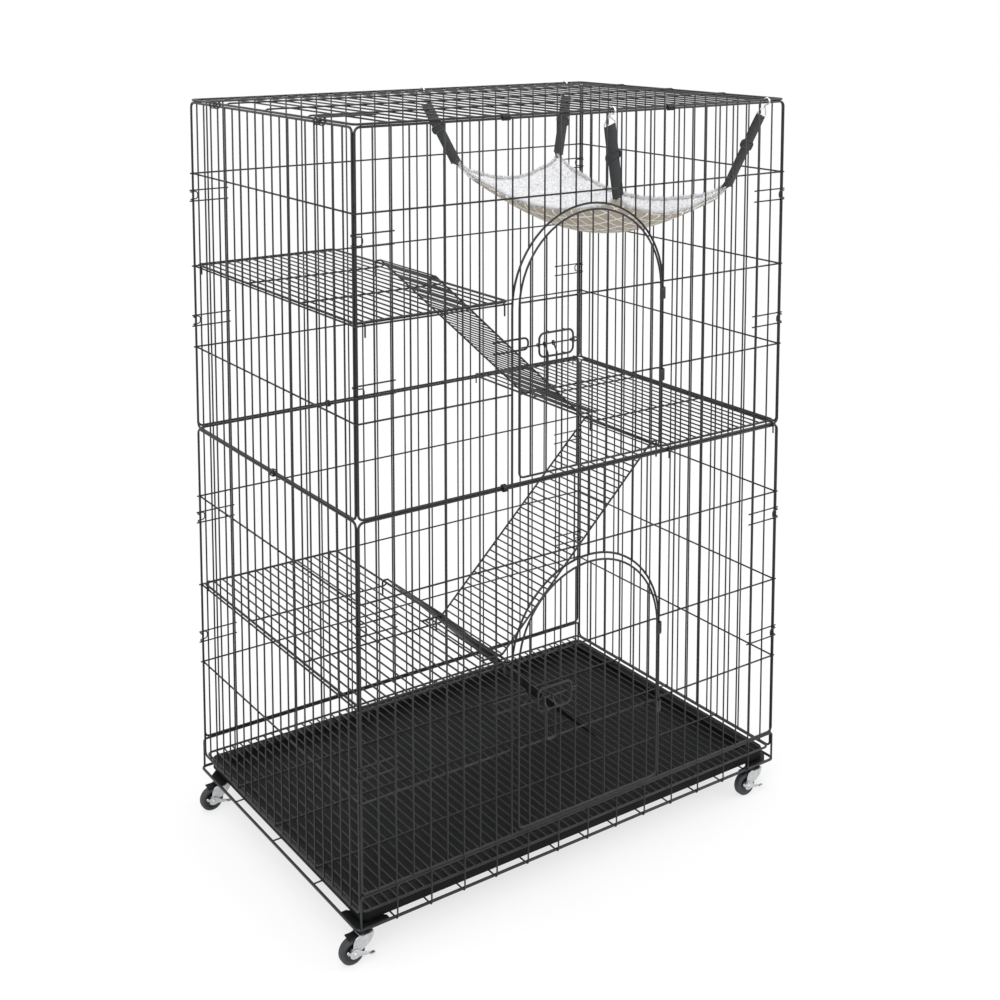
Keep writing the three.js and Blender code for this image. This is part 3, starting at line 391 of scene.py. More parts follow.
panelLook = {
    "rail": 4.0,  # thickness of the wire round each panel
    "upright": 2.9,
    "cross": 3.1,
    "layer": 1.0,  # how far the uprights lie out, and the cross wires in
    "corner": 9,
    "longPitch": 32.14,
    "longReach": 13,
    "sidePitch": 29.8,
    "sideReach": 9,
    "levels": (150, 301, 472),
    "overhang": 3,
}
rail, pitch, layer = (panelLook[key] * mm for key in ("rail", "longPitch", "layer"))
railR, uprightR, crossR = rail / 2, panelLook["upright"] * mm / 2, panelLook["cross"] * mm / 2
gap = 0.3 * mm  # between wires that only lie beside each other
sink = 0.3 * mm  # by which welded wires overlap
crank = 6 * mm  # length over which a cross wire leaves the plane of its frame

leftLow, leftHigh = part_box("lower_left_panel")
rightLow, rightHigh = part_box("lower_right_panel")
roofLow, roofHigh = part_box("roof_panel")
midX = (leftLow.x + rightHigh.x) / 2
midY = (leftLow.y + leftHigh.y) / 2
halfLong = (roofHigh.x - roofLow.x - rail) / 2  # to the middle of the end rails
halfDeep = (roofHigh.y - roofLow.y - rail) / 2
sideX = (rightLow.x + rightHigh.x) / 2 - midX
sideDeep = (leftHigh.y - leftLow.y - rail) / 2


def at(x, y, z):
    return vec(midX + x, midY + y, z)


def tierSpan(tier):
    low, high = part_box(f"{tier}_back_panel")
    return low.z + railR, high.z - railR


roofSeam = (roofLow.z + tierSpan("upper")[1] + railR) / 2  # between the roof's rail and the panels'


# a closed frame of wire in one of the three planes
def addFrame(shape, plane, u0, u1, v0, v1, w, corner, radius=railR, count=14):
    order = {"xz": (0, 2, 1), "yz": (2, 0, 1), "xy": (0, 1, 2)}[plane]
    spots = [(u0, v0, w), (u1, v0, w), (u1, v1, w), (u0, v1, w)]
    points = [at(*(spot[i] for i in order)) for spot in spots]
    addTube(shape, rounded(points, corner * mm, closed=True), radius, closed=True, count=count)


# a cross wire that lies beside the frame's plane, with its ends bent back into it
def addCranked(shape, first, last, lift):
    along = (last - first).normalized() * crank
    addTube(shape, [first, first + along + lift, last - along + lift, last], crossR)


# prongs at the corners, and the loops that lie between them
prongLook = {"long": 75, "overhang": 5, "apart": 20, "rod": 2.6, "levels": (199, 431)}
loopLook = {"wide": 15, "tall": 16, "rod": 2.2, "bend": 5}


def addProngs(shape, side, foot):
    y = side * (halfDeep - layer)
    tip = halfLong + railR + prongLook["overhang"] * mm
    root = tip - prongLook["long"] * mm
    for end in sides:
        for level in prongLook["levels"]:
            for half in (-0.5, 0.5):
                z = foot + (level + half * prongLook["apart"]) * mm
                addTube(shape, [at(end * tip, y, z), at(end * root, y, z)], prongLook["rod"] * mm / 2)


def addCornerLoops(shape, side, foot):
    rod = loopLook["rod"] * mm
    x = side * (sideX + railR + rod / 2 - sink)
    inner = x - side * loopLook["wide"] * mm
    half = (loopLook["tall"] * mm - rod) / 2
    for end in sides:
        y = end * (halfDeep + railR + gap + rod / 2)
        way = [(x, end * (sideDeep - rail / 4)), (x, y), (inner, y)]
        for level in prongLook["levels"]:
            z = foot + level * mm
            points = [at(*spot, z + half) for spot in way] + [at(*spot, z - half) for spot in way[::-1]]
            addTube(shape, rounded(points, loopLook["bend"] * mm, steps=4), rod / 2)


# arched doorway, and the loop beside it that catches the door's bolt
archLook = {"side": 5, "spring": 291, "rail": 3.8, "steps": 36}
catchLook = {"from": -198, "to": -129, "tall": 19, "rod": 3.4, "bend": 8, "level": 231.6}
archHalf = archLook["side"] * pitch


def archPath(half, foot, spring, y):
    path = [at(-half, y, foot)]
    for k in range(archLook["steps"] + 1):
        turn = math.pi - math.pi * k / archLook["steps"]
        path.append(at(half * math.cos(turn), y, spring + half * math.sin(turn)))
    path.append(at(half, y, foot))
    return path


def archTop(half, spring, x):
    return spring + math.sqrt(max(half * half - x * x, 0))


def addCatch(shape, foot, y):
    z, half = foot + catchLook["level"] * mm, catchLook["tall"] * mm / 2
    x0, x1 = catchLook["from"] * mm, catchLook["to"] * mm
    path = [at(x0, y, z + half), at(x1, y, z + half), at(x1, y, z - half), at(x0, y, z - half)]
    addTube(shape, rounded(path, catchLook["bend"] * mm), catchLook["rod"] * mm / 2)


# front and back panels, of which the front has the doorway
def longPanel(tier, side):
    shape = newShape()
    foot, top = tierSpan(tier)
    y, hasDoor = side * halfDeep, side < 0
    addFrame(shape, "xz", -halfLong, halfLong, foot, top, y, panelLook["corner"])
    spring = foot + archLook["spring"] * mm
    for k in bothWays(panelLook["longReach"]):
        low = foot
        if hasDoor and abs(k) == archLook["side"]:
            low = foot + panelLook["levels"][1] * mm
        elif hasDoor and abs(k) < archLook["side"]:
            low = archTop(archHalf, spring, k * pitch)
        outY = y + side * layer
        addTube(shape, [at(k * pitch, outY, low), at(k * pitch, outY, top)], uprightR)
    reach = halfLong + railR + panelLook["overhang"] * mm
    for i, level in enumerate(panelLook["levels"]):
        inY, z = y - side * layer, foot + level * mm
        spans = [(-reach, -archHalf), (archHalf, reach)] if hasDoor and i < 2 else [(-reach, reach)]
        for x0, x1 in spans:
            addTube(shape, [at(x0, inY, z), at(x1, inY, z)], crossR)
    addProngs(shape, side, foot)
    if hasDoor:
        addTube(shape, archPath(archHalf, foot, spring, y), archLook["rail"] * mm / 2, count=14)
        addCatch(shape, foot, y)
    word = "Front" if hasDoor else "Back"
    wirePiece(f"{tier}{word}Wires", shape, nodes=[f"{tier}_{word.lower()}_panel"])


def sidePanel(tier, side):
    shape = newShape()
    foot, top = tierSpan(tier)
    low = leftLow.z + railR if tier == "lower" else foot
    x = side * sideX
    addFrame(shape, "yz", -sideDeep, sideDeep, low, top, x, panelLook["corner"])
    outX, inX = x + side * layer, x - side * layer
    for k in bothWays(panelLook["sideReach"]):
        y = k * panelLook["sidePitch"] * mm
        addTube(shape, [at(outX, y, low), at(outX, y, top)], uprightR)
    for level in panelLook["levels"]:
        z = foot + level * mm
        addTube(shape, [at(inX, -sideDeep, z), at(inX, sideDeep, z)], crossR)
    addCornerLoops(shape, side, foot)
    word = "Left" if side < 0 else "Right"
    wirePiece(f"{tier}{word}Wires", shape, nodes=[f"{tier}_{word.lower()}_panel"])


for tier in ("lower", "upper"):
    for panel in (longPanel, sidePanel):
        for side in sides:
            panel(tier, side)
print("wire panels drawn")

roofLook = {"first": -12, "last": 13, "crossRise": 2.7}
crossAt = [y * mm for y in (-150, 0, 150)]  # wires that cross the roof, the base and the floor grid


def roofPanel():
    shape = newShape()
    middle = roofLow.z + railR
    addFrame(shape, "xy", -halfLong, halfLong, -halfDeep, halfDeep, middle, panelLook["corner"])
    for k in range(roofLook["first"], roofLook["last"] + 1):
        addTube(shape, [at(k * pitch, -halfDeep, middle), at(k * pitch, halfDeep, middle)], uprightR)
    for y in crossAt:
        lift = alongZ * roofLook["crossRise"] * mm
        addCranked(shape, at(-halfLong, y, middle), at(halfLong, y, middle), lift)
    wirePiece("roofWires", shape, nodes=["roof_panel"])


# a clip of wire wound a few turns round two rails
def addCoil(shape, centre, axis, inner, wide, rod, turns, flat=1.0):
    across = axis.cross(alongZ)
    radius = inner + rod / 2
    path = []
    steps = turns * 18
    for k in range(steps + 1):
        turn = 2 * math.pi * turns * k / steps
        along = (k / steps - 0.5) * (wide - rod)
        ray = across * math.cos(turn) * flat + alongZ * math.sin(turn)
        path.append(centre + axis * along + ray * radius)
    addTube(shape, path, rod / 2)


latchLook = {"rod": 2.4, "long": 100, "wide": 18, "start": 2, "inner": 5.4, "wall": 1.9, "coils": 3}


# a long loop on two rings round the roof's rail and the left panel's
def roofLatch(word):
    low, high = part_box(f"{word}_roof_latch")
    shape = newShape()
    middleY = (low.y + high.y) / 2
    rod, inner, wall = (latchLook[key] * mm for key in ("rod", "inner", "wall"))
    centreX = midX - halfLong - rail / 4
    half = (latchLook["wide"] * mm - rod) / 2
    z = roofSeam + inner + wall - rod / 2
    start, end = centreX + latchLook["start"] * mm, centreX + latchLook["long"] * mm
    spots = [(start, -half), (end, -half), (end, half), (start, half)]
    addTube(shape, rounded([vec(x, middleY + y, z) for x, y in spots], half * 0.98), rod / 2)
    for side in sides:
        centre = vec(centreX, middleY + side * half, roofSeam)
        addCoil(shape, centre, alongY, inner, latchLook["coils"] * rod, wall, latchLook["coils"])
    wirePiece(f"{word}LatchWire", shape, f"{word}_latch", [f"{word}_roof_latch"])


clipLook = {
    "rod": 1.8,
    "inner": 4.9,
    "turns": 4,
    "roofInner": 4.3,
    "roofTurns": 8,
    "roofWide": 17,
    "roofFlat": 0.6,
    "roofPitches": 5.4,  # from the middle of the roof's rail, in pitches of its wires
}


def tierClip(word):
    low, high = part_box(f"{word}_tier_clip")
    shape = newShape()
    axis = alongY if word == "left" else alongX
    wide, rod = abs((high - low).dot(axis)), clipLook["rod"] * mm
    addCoil(shape, (low + high) / 2, axis, clipLook["inner"] * mm, wide, rod, clipLook["turns"])
    wirePiece(f"{word}Clip", shape, nodes=[f"{word}_tier_clip"])


# two longer clips that hold the roof's front rail to the panel's
def roofClips():
    shape = newShape()
    inner, wide, rod = (clipLook[key] * mm for key in ("roofInner", "roofWide", "rod"))
    for side in sides:
        centre = at(side * clipLook["roofPitches"] * pitch, -halfDeep, roofSeam)
        addCoil(shape, centre, alongX, inner, wide, rod, clipLook["roofTurns"], clipLook["roofFlat"])
    wirePiece("roofClips", shape)


roofPanel()
for word in ("front", "back"):
    roofLatch(word)
for word in ("front", "back", "left"):
    tierClip(word)
roofClips()
print("roof, latches and clips drawn")

doorLook = {
    "proud": 6.4,  # the door's plane, in front of the panel's
    "inset": 9.7,  # between the doorway's rail and the door's
    "sill": 11,
    "rail": 3.6,
    "reach": 4,
    "corner": 9,
    "sleeveTall": 20,
    "sleeveDrop": 4,
    "sleeveInner": 3.3,
    "sleeveOuter": 5.0,
    "sleeveSoft": 0.3,
    "tabThick": 1.6,
    "tabIn": 1,
    "tabSoft": 0.2,
}
boltLook = {
    "level": 229,
    "proud": 5.1,  # this and the two below are in front of the door's plane
    "rod": 2.6,
    "arrowLong": 12,
    "arrowHigh": 11,
    "arrowBend": 2,
    "eyeInner": 1.9,
    "eyeRod": 1.5,
}
bracketLook = {"proud": 9.7, "rod": 3.6, "from": -120, "to": -47, "tall": 43, "bend": 10}
handleLook = {
    "proud": 14.5,
    "rod": 2.6,
    "from": -104,
    "to": -86,
    "drop": 70,
    "knee": 13,
    "bend": 6,
    "ringPlay": 0.1,  # between its rings and the edges of the CAD's square bolt
}
doorPlane = -halfDeep - doorLook["proud"] * mm
boltPlane = doorPlane - boltLook["proud"] * mm


def doorLeaf(tier):
    shape = newShape()
    foot = tierSpan(tier)[0]
    y = doorPlane
    half = archHalf - doorLook["inset"] * mm
    sill, spring = foot + doorLook["sill"] * mm, foot + archLook["spring"] * mm
    arch = archPath(half, sill, spring, y)
    base = rounded([arch[-2], arch[-1], arch[0], arch[1]], doorLook["corner"] * mm)[1:-1]
    addTube(shape, arch[1:-1] + base, doorLook["rail"] * mm / 2, closed=True, count=14)
    for k in bothWays(doorLook["reach"]):
        top = archTop(half, spring, k * pitch)
        addTube(shape, [at(k * pitch, y, sill), at(k * pitch, y, top)], uprightR)
    for level in panelLook["levels"][:2]:
        z = foot + level * mm
        addCranked(shape, at(-half, y, z), at(half, y, z), alongY * (uprightR + gap + crossR))
        addSleeve(shape, min(z - doorLook["sleeveDrop"] * mm, spring), half)
    addBracket(shape, foot)
    wirePiece(f"{tier}DoorWires", shape, f"{tier}_door", [f"{tier}_door"])


# a strip of sheet curled round the doorway's post and welded to the door's rail
def addSleeve(shape, top, half):
    tall, inner, outer = (doorLook[key] * mm for key in ("sleeveTall", "sleeveInner", "sleeveOuter"))
    soft, end = doorLook["sleeveSoft"] * mm, tall / 2
    post = at(archHalf, -halfDeep, top - end)
    profile = [(inner, -end), (inner, end), (outer - soft, end), (outer, end - soft)]
    profile += [(outer, soft - end), (outer - soft, -end)]
    addTurned(shape, post, alongZ, profile, count=28, closed=True)
    back = doorPlane + doorLook["rail"] * mm / 2
    front = back - doorLook["tabThick"] * mm
    welded = half - doorLook["tabIn"] * mm
    spots = [(welded, front), (archHalf, front), (archHalf, -halfDeep - inner), (welded, back)]
    addPlate(shape, [at(x, y, post.z) for x, y in spots], alongZ, tall, doorLook["tabSoft"] * mm)


# the frame that carries the bolt's two eyes, on four stays from the door's uprights
def addBracket(shape, foot):
    z = foot + boltLook["level"] * mm
    y = doorPlane - bracketLook["proud"] * mm
    rod = bracketLook["rod"] * mm
    tall = (bracketLook["tall"] * mm - rod) / 2
    x0, x1 = bracketLook["from"] * mm + rod / 2, bracketLook["to"] * mm - rod / 2
    addFrame(shape, "xz", x0, x1, z - tall, z + tall, y, bracketLook["bend"], rod / 2, 10)
    for k in (-3, -2):
        for end in (-tall, tall):
            addTube(shape, [at(k * pitch, y, z + end), at(k * pitch, doorPlane, z + end)], uprightR)
    for x in (x0, x1):
        radius = (boltLook["eyeInner"] + boltLook["eyeRod"] / 2) * mm
        addHoop(shape, at(x, boltPlane, z), radius, boltLook["eyeRod"] * mm / 2, count=8)


# a sliding rod whose tip is bent into an arrow
def doorBolt(tier):
    low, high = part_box(f"{tier}_door_bolt")
    shape = newShape()
    z = tierSpan(tier)[0] + boltLook["level"] * mm
    y = (low.y + high.y) / 2 - midY
    rod = boltLook["rod"] * mm / 2
    tip = high.x - midX - rod
    root = tip - boltLook["arrowLong"] * mm
    addTube(shape, [at(low.x - midX + rod, y, z), at(root, y, z)], rod)
    half = boltLook["arrowHigh"] * mm / 2 - rod
    arrow = [at(root, y, z + half), at(tip, y, z), at(root, y, z - half)]
    addTube(shape, rounded(arrow, boltLook["arrowBend"] * mm, closed=True, steps=4), rod, closed=True)
    wirePiece(f"{tier}BoltRod", shape, f"{tier}_bolt", [f"{tier}_door_bolt"])


# a drop handle that hangs on the bolt by two rings
def boltHandle(tier):
    shape = newShape()
    z = tierSpan(tier)[0] + boltLook["level"] * mm
    front = doorPlane - handleLook["proud"] * mm
    rod = handleLook["rod"] * mm / 2
    radius = (boltLook["rod"] * math.sqrt(0.5) + handleLook["ringPlay"]) * mm + rod
    start = radius * math.sqrt(0.5)
    way = [(boltPlane - start, z - start), (front, z - handleLook["knee"] * mm)]
    way.append((front, z - handleLook["drop"] * mm))
    x0, x1 = handleLook["from"] * mm, handleLook["to"] * mm
    path = [at(x0, *spot) for spot in way] + [at(x1, *spot) for spot in way[::-1]]
    addTube(shape, rounded(path, handleLook["bend"] * mm), rod)
    for x in (x0, x1):
        addHoop(shape, at(x, boltPlane, z), radius, rod)
    wirePiece(f"{tier}HandleWire", shape, f"{tier}_handle", [f"{tier}_bolt_handle"])


for tier in ("lower", "upper"):
    doorLeaf(tier)
    doorBolt(tier)
    boltHandle(tier)
print("doors drawn")

baseLook = {
    "lower": 5.0,
    "wire": 2.8,
    "bend": 5,
    "railBend": 10,
    "wireReach": 6,
    "pitches": 2,
    "lowDrop": 58,
    "topDrop": 4.3,
    "halfLong": 456,
}
baseHalf = baseLook["halfLong"] * mm


def baseFrame():
    shape = newShape()
    foot = tierSpan("lower")[0]
    low, top = foot - baseLook["lowDrop"] * mm, foot - baseLook["topDrop"] * mm
    thickR, wireR, bend = baseLook["lower"] * mm / 2, baseLook["wire"] * mm / 2, baseLook["bend"] * mm
    addFrame(shape, "xy", -baseHalf, baseHalf, -halfDeep, halfDeep, low, baseLook["railBend"], thickR)
    down = halfLong + railR + gap
    for side in sides:
        y = side * halfDeep
        path = [at(-down, y, low), at(-down, y, top), at(down, y, top), at(down, y, low)]
        addTube(shape, rounded(path, bend), railR, count=14)
    under = low - thickR - wireR + sink
    outY = halfDeep + railR + wireR - sink
    for k in bothWays(baseLook["wireReach"]):
        x = k * baseLook["pitches"] * pitch
        path = [at(x, -outY, top), at(x, -outY, under), at(x, outY, under), at(x, outY, top)]
        addTube(shape, rounded(path, bend), wireR)
    carry = low + thickR - wireR
    for y in crossAt:
        addTube(shape, [at(-baseHalf, y, carry), at(baseHalf, y, carry)], wireR)
    wirePiece("baseWires", shape, nodes=["base_frame", "base_front_rail", "base_back_rail"])


trayLook = {
    "rim": 22,  # hollow, with its outer edge turned down to the foot
    "wall": 2.5,
    "corner": 12,
    "roomCorner": 8,
    "steps": 8,
    "draft": 1.0,
    "soft": 1.4,
    "panelIn": 22,
    "panelRise": 1.2,
}


def roundedOutline(halfX, halfY, corner, z, centre, steps=6):
    points = [(-halfX, -halfY), (halfX, -halfY), (halfX, halfY), (-halfX, halfY)]
    return rounded([vec(centre.x + x, centre.y + y, z) for x, y in points], corner, closed=True, steps=steps)


# inset from the outer edge, height and corner, from under the floor round the channel and over the rim
def trayProfile(low, top):
    wall, rim, soft, draft = (trayLook[key] * mm for key in ("wall", "rim", "soft", "draft"))
    corner, room, step = (trayLook[key] * mm for key in ("corner", "roomCorner", "panelIn"))
    floor = low + wall
    return [
        (rim + soft, low, room),
        (rim - wall + draft, low + soft, room + wall),
        (rim - wall, top - wall - soft, room + wall),
        (rim - wall - soft, top - wall, room + wall + soft),
        (wall + soft, top - wall, corner - wall),
        (wall, top - wall - soft, corner - wall),
        (wall, low + 0.4 * mm, corner - wall),
        (wall * 0.6, low, corner - wall * 0.6),
        (wall * 0.3, low, corner),
        (0, low + 0.5 * mm, corner),
        (0, top - soft, corner),
        (soft * 0.3, top - soft * 0.3, corner),
        (soft, top, corner),
        (rim - soft, top, room + soft),
        (rim - soft * 0.3, top - soft * 0.3, room),
        (rim, top - soft, room),
        (rim + draft, floor + 2 * soft, room),
        (rim + draft + soft * 0.6, floor + soft * 0.6, room),
        (rim + draft + 2 * soft, floor, room),
        (rim + step, floor, room),
        (rim + step + 4 * mm, floor + trayLook["panelRise"] * mm, room),
    ]


def trayPan():
    low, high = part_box("tray")
    centre = (low + high) / 2
    halfX, halfY = (high.x - low.x) / 2, (high.y - low.y) / 2
    shape = newShape()
    rings = []
    for inset, z, bend in trayProfile(low.z, high.z):
        rings.append(len(shape["verts"]))
        shape["verts"] += roundedOutline(halfX - inset, halfY - inset, bend, z, centre, trayLook["steps"])
    addWalls(shape, rings, rings[1] - rings[0])
    makePiece("trayShell", shape, [finish["tray"]], "tray_drawer", ["tray"], sharp=50)


gridLook = {"pitch": 16.5, "reach": 26, "corner": 9, "endGap": 4.3}


# the floor grid, whose cross wires lie on the side panels' bottom rails
def floorGrid():
    low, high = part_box("floor_grid")
    shape = newShape()
    centre = (low + high) / 2
    halfX, halfY = (high.x - low.x) / 2 - gridLook["endGap"] * mm, (high.y - low.y - rail) / 2
    middle = low.z + railR
    loop = roundedOutline(halfX, halfY, gridLook["corner"] * mm, middle, centre)
    addTube(shape, loop, railR, closed=True, count=12)
    for k in bothWays(gridLook["reach"]):
        x = centre.x + k * gridLook["pitch"] * mm
        ends = [vec(x, centre.y - halfY, middle), vec(x, centre.y + halfY, middle)]
        addTube(shape, ends, uprightR, count=8)
    for y in crossAt:
        ends = [vec(x, centre.y + y, high.z - crossR) for x in (low.x, high.x)]
        addTube(shape, ends, crossR, tips=False)
    wirePiece("floorWires", shape, nodes=["floor_grid"])


baseFrame()
trayPan()
floorGrid()
print("base, tray and floor drawn")

shelfLook = {
    "inner": 165,  # from the cage's middle to the shelf's edges
    "outer": 445,
    "halfDeep": 293.4,
    "pitch": 17.5,
    "wires": 15,
    "crossAt": (-98, 98),
    "corner": 8,
    "hookRod": 2.8,
    "hookBend": 3,
    "hookPitches": (5.5, 13.5),  # from the cage's middle, in pitches of the long panels' wires
}


# a shelf with four hooks over the long panels' cross wires; gives back its height
def shelfPanel(word, side):
    low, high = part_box(f"{word}_shelf")
    shape = newShape()
    z = high.z - railR
    inner, outer = side * shelfLook["inner"] * mm, side * shelfLook["outer"] * mm
    halfY = shelfLook["halfDeep"] * mm
    edges = sorted((inner, outer))
    addFrame(shape, "xy", *edges, -halfY, halfY, z, shelfLook["corner"])
    for k in range(1, shelfLook["wires"] + 1):
        x = inner + side * k * shelfLook["pitch"] * mm
        addTube(shape, [at(x, -halfY, z), at(x, halfY, z)], uprightR, count=8)
    for y in shelfLook["crossAt"]:
        lift = -alongZ * (uprightR + gap + crossR)
        addCranked(shape, at(inner, y * mm, z), at(outer, y * mm, z), lift)
    rod = shelfLook["hookRod"] * mm / 2
    legY = (high.y - low.y) / 2 - rod
    for end in sides:
        for pitches in shelfLook["hookPitches"]:
            x = side * pitches * pitch
            path = [at(x, end * halfY, z), at(x, end * legY, z), at(x, end * legY, low.z + rod)]
            addTube(shape, rounded(path, shelfLook["hookBend"] * mm), rod)
    wirePiece(f"{word}ShelfWires", shape, nodes=[f"{word}_shelf"])
    return z


rampLook = {
    "wire": 3.2,  # thickness of the CAD ramp's wires, on whose middles these are drawn
    "rail": 3.4,
    "rung": 2.7,
    "rungPitch": 11.8,
    "firstRung": 8,
    "wide": 190,
    "long": 485,
    "hookSide": 6.2,
    "hookPlay": 0.12,
    "tail": 24,
    "shoulder": 5,
    "footBack": 2,
    "bend": 3.5,
}


# the ramp's course from its hook to its foot, as places along x and heights, and how long it lies flat
def rampLine(way, fromZ, landZ, onShelf):
    look = {key: value * mm for key, value in rampLook.items()}
    wireR, edge = look["wire"] / 2, way * shelfLook["inner"] * mm
    rise = math.hypot(railR, railR) + look["hookPlay"] + wireR
    top = (way * look["shoulder"] - edge, fromZ + rise)
    back = -edge - way * look["hookSide"]
    line = [(back, fromZ - look["tail"]), (back, fromZ + rise), top]
    if not onShelf:
        drop = top[1] - landZ - wireR - gap
        return line + [(top[0] + way * math.sqrt(look["long"] ** 2 - drop * drop), top[1] - drop)], 0
    end = (edge - way * look["footBack"], landZ + gap + wireR)
    flat = look["long"] - math.dist(top, end)
    return line + [end, (end[0] + way * flat, end[1])], flat


def rampPanel(word, way, fromZ, landZ):
    low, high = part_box(f"{word}_ramp")
    shape = newShape()
    middleY = (low.y + high.y) / 2 - midY
    line, flat = rampLine(way, fromZ, landZ, word != "lower")
    top, end = line[2:4]
    halfWide = (rampLook["wide"] - rampLook["wire"]) * mm / 2
    for side in sides:
        path = [at(x, middleY + side * halfWide, z) for x, z in line]
        addTube(shape, rounded(path, rampLook["bend"] * mm), rampLook["rail"] * mm / 2, count=12)
    slope, first, step = math.dist(top, end), rampLook["firstRung"] * mm, rampLook["rungPitch"] * mm
    spots = [top]
    for k in range(int((slope - first) / step) + 1):
        share = (first + k * step) / slope
        spots.append(tuple(a + (b - a) * share for a, b in zip(top, end)))
    for k in range(1, int(flat / step) + 1):
        spots.append((end[0] + way * k * step, end[1]))
    for x, z in spots:
        ends = [at(x, middleY - halfWide, z), at(x, middleY + halfWide, z)]
        addTube(shape, ends, rampLook["rung"] * mm / 2, count=8)
    wirePiece(f"{word}RampWires", shape, f"{word}_ramp", [f"{word}_ramp"])


shelfZ = {word: shelfPanel(word, side) for word, side in (("upper", -1), ("middle", 1), ("lower", -1))}
rampPanel("upper", 1, shelfZ["upper"], shelfZ["middle"] + railR)
rampPanel("middle", -1, shelfZ["middle"], shelfZ["lower"] + railR)
rampPanel("lower", 1, shelfZ["lower"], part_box("floor_grid")[1].z)
print("shelves and ramps drawn")

casterLook = {
    "trail": 22,
    "wheelR": 21.5,
    "hubR": 14,
    "cheek": 1.8,
    "cheekGap": 1.0,
    "crownHalf": 13,
    "crownBend": 3,
    "eyeR": 7.4,  # of the cheek round its axle
    "axleR": 2.6,
    "headOut": 2.6,
    "nutOut": 0.8,
    "nutR": 4.4,
    "nutThick": 1.6,
    "bossR": 13,
    "neckR": 6,
    "plateThick": 3,
    "plateLeg": 56,
    "plateTip": 8,
    "plateCut": 3,  # at least
    "plateNear": 30,  # from the swivel to the plate's cut corner, along both rails together
    "stopFrom": 70,
    "stopTo": 109,
    "stopTall": 6,
    "stopGap": 0.8,  # to the wheel
    "stopPlay": 0.1,  # to each cheek
    "stopDrop": 0.6,  # from the crown's top
    "lever": 1.8,
    "tread": 2,
    "treadFrom": 24,
    "treadDrop": 7,
    "treadBend": 1.6,
}


# places on a corner's caster: its swivel, its axle and half the wheel's width
def casterPlaces(corner):
    pin = next(Vector(j["pos_m"]) for j in frame["joints"] if j["name"] == f"{corner}_swivel")
    low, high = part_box(f"{corner}_caster_wheel")
    return pin, vec(pin.x - casterLook["trail"] * mm, pin.y, (low.z + high.z) / 2), (high.y - low.y) / 2


# a three-cornered plate in the lower rail's corner, cut off where the swivel stands far in
def bracketPlate(corner, shape, top, pin):
    look = casterLook
    wayX, wayY = (1 if corner.endswith("right") else -1), (1 if corner.startswith("back") else -1)
    inside = baseLook["lower"] * mm / 2 + gap
    edge = at(wayX * (baseHalf - inside), wayY * (halfDeep - inside), 0)
    toCorner = abs(edge.x - pin.x) + abs(edge.y - pin.y)
    leg = max(look["plateLeg"] * mm, toCorner + look["bossR"] * mm)
    cut = max(look["plateCut"] * mm, toCorner - look["plateNear"] * mm)
    tip, thick = look["plateTip"] * mm, look["plateThick"] * mm
    spots = [(cut, 0), (leg, 0), (leg, tip), (tip, leg), (0, leg), (0, cut)]
    outline = [vec(edge.x - wayX * inX, edge.y - wayY * inY, top - thick / 2) for inX, inY in spots]
    addPlate(shape, outline, alongZ, thick, softEdge)


def casterBracket(corner):
    low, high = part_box(f"{corner}_caster_bracket")
    pin = casterPlaces(corner)[0]
    shape = newShape()
    bracketPlate(corner, shape, high.z, pin)
    boss, neck, soft = casterLook["bossR"] * mm, casterLook["neckR"] * mm, 0.8 * mm
    profile = [(boss - 3 * soft, low.z), (boss - soft, low.z), (boss, low.z + soft), (boss, low.z + 2.4 * mm)]
    profile += [(boss - soft, low.z + 3.4 * mm), (neck + soft, low.z + 3.7 * mm)]
    profile.append((neck, high.z - casterLook["plateThick"] * mm + soft))
    addTurned(shape, pin, alongZ, [(radius, z - pin.z) for radius, z in profile], count=40)
    nodes = [f"{corner}_caster_bracket"]
    makePiece(f"{corner}Bracket", shape, [finish["plate"]], "root", nodes, sharp=35)


# outline of a cheek round its axle: broad at the top, upright behind and drawn in to an eye
def cheekOutline(tall):
    eye, trail, crown = (casterLook[key] * mm for key in ("eyeR", "trail", "crownHalf"))
    front, shoulder = trail + crown, tall - 4 * mm
    curve = [(front, tall), (front, shoulder)]
    for k in range(1, 9):
        share = k / 8
        weights = ((1 - share) ** 2, 2 * share * (1 - share), share**2)
        spots = ((front, shoulder), (front - 2 * mm, 9 * mm), (eye + 5 * mm, 1 * mm))
        curve.append(tuple(sum(w * spot[i] for w, spot in zip(weights, spots)) for i in (0, 1)))
    for k in range(9):
        turn = math.radians(-25 - 150 * k / 8)
        curve.append((eye * math.cos(turn), eye * math.sin(turn)))
    curve += [(-eye * 0.8, 5 * mm), (-2.4 * mm, 9 * mm), (-1.6 * mm, tall - 9 * mm), (2 * mm, tall - 3 * mm)]
    return curve + [(trail - crown, tall)]


# the axle, with a round head on one side and a hex nut on the other
def addAxle(shape, axle, outer):
    look = {key: casterLook[key] * mm for key in ("axleR", "headOut", "nutOut", "nutR", "nutThick")}
    ends = [axle - alongY * (outer + look["headOut"]), axle + alongY * (outer + 0.6 * mm)]
    addTube(shape, ends, look["axleR"], count=20)
    nut = []
    for k in range(6):
        turn = math.pi * k / 3
        ray = vec(math.cos(turn), 0, math.sin(turn)) * look["nutR"]
        nut.append(axle + ray + alongY * (outer + look["nutOut"]))
    addPlate(shape, nut, alongY, look["nutThick"], fineEdge)


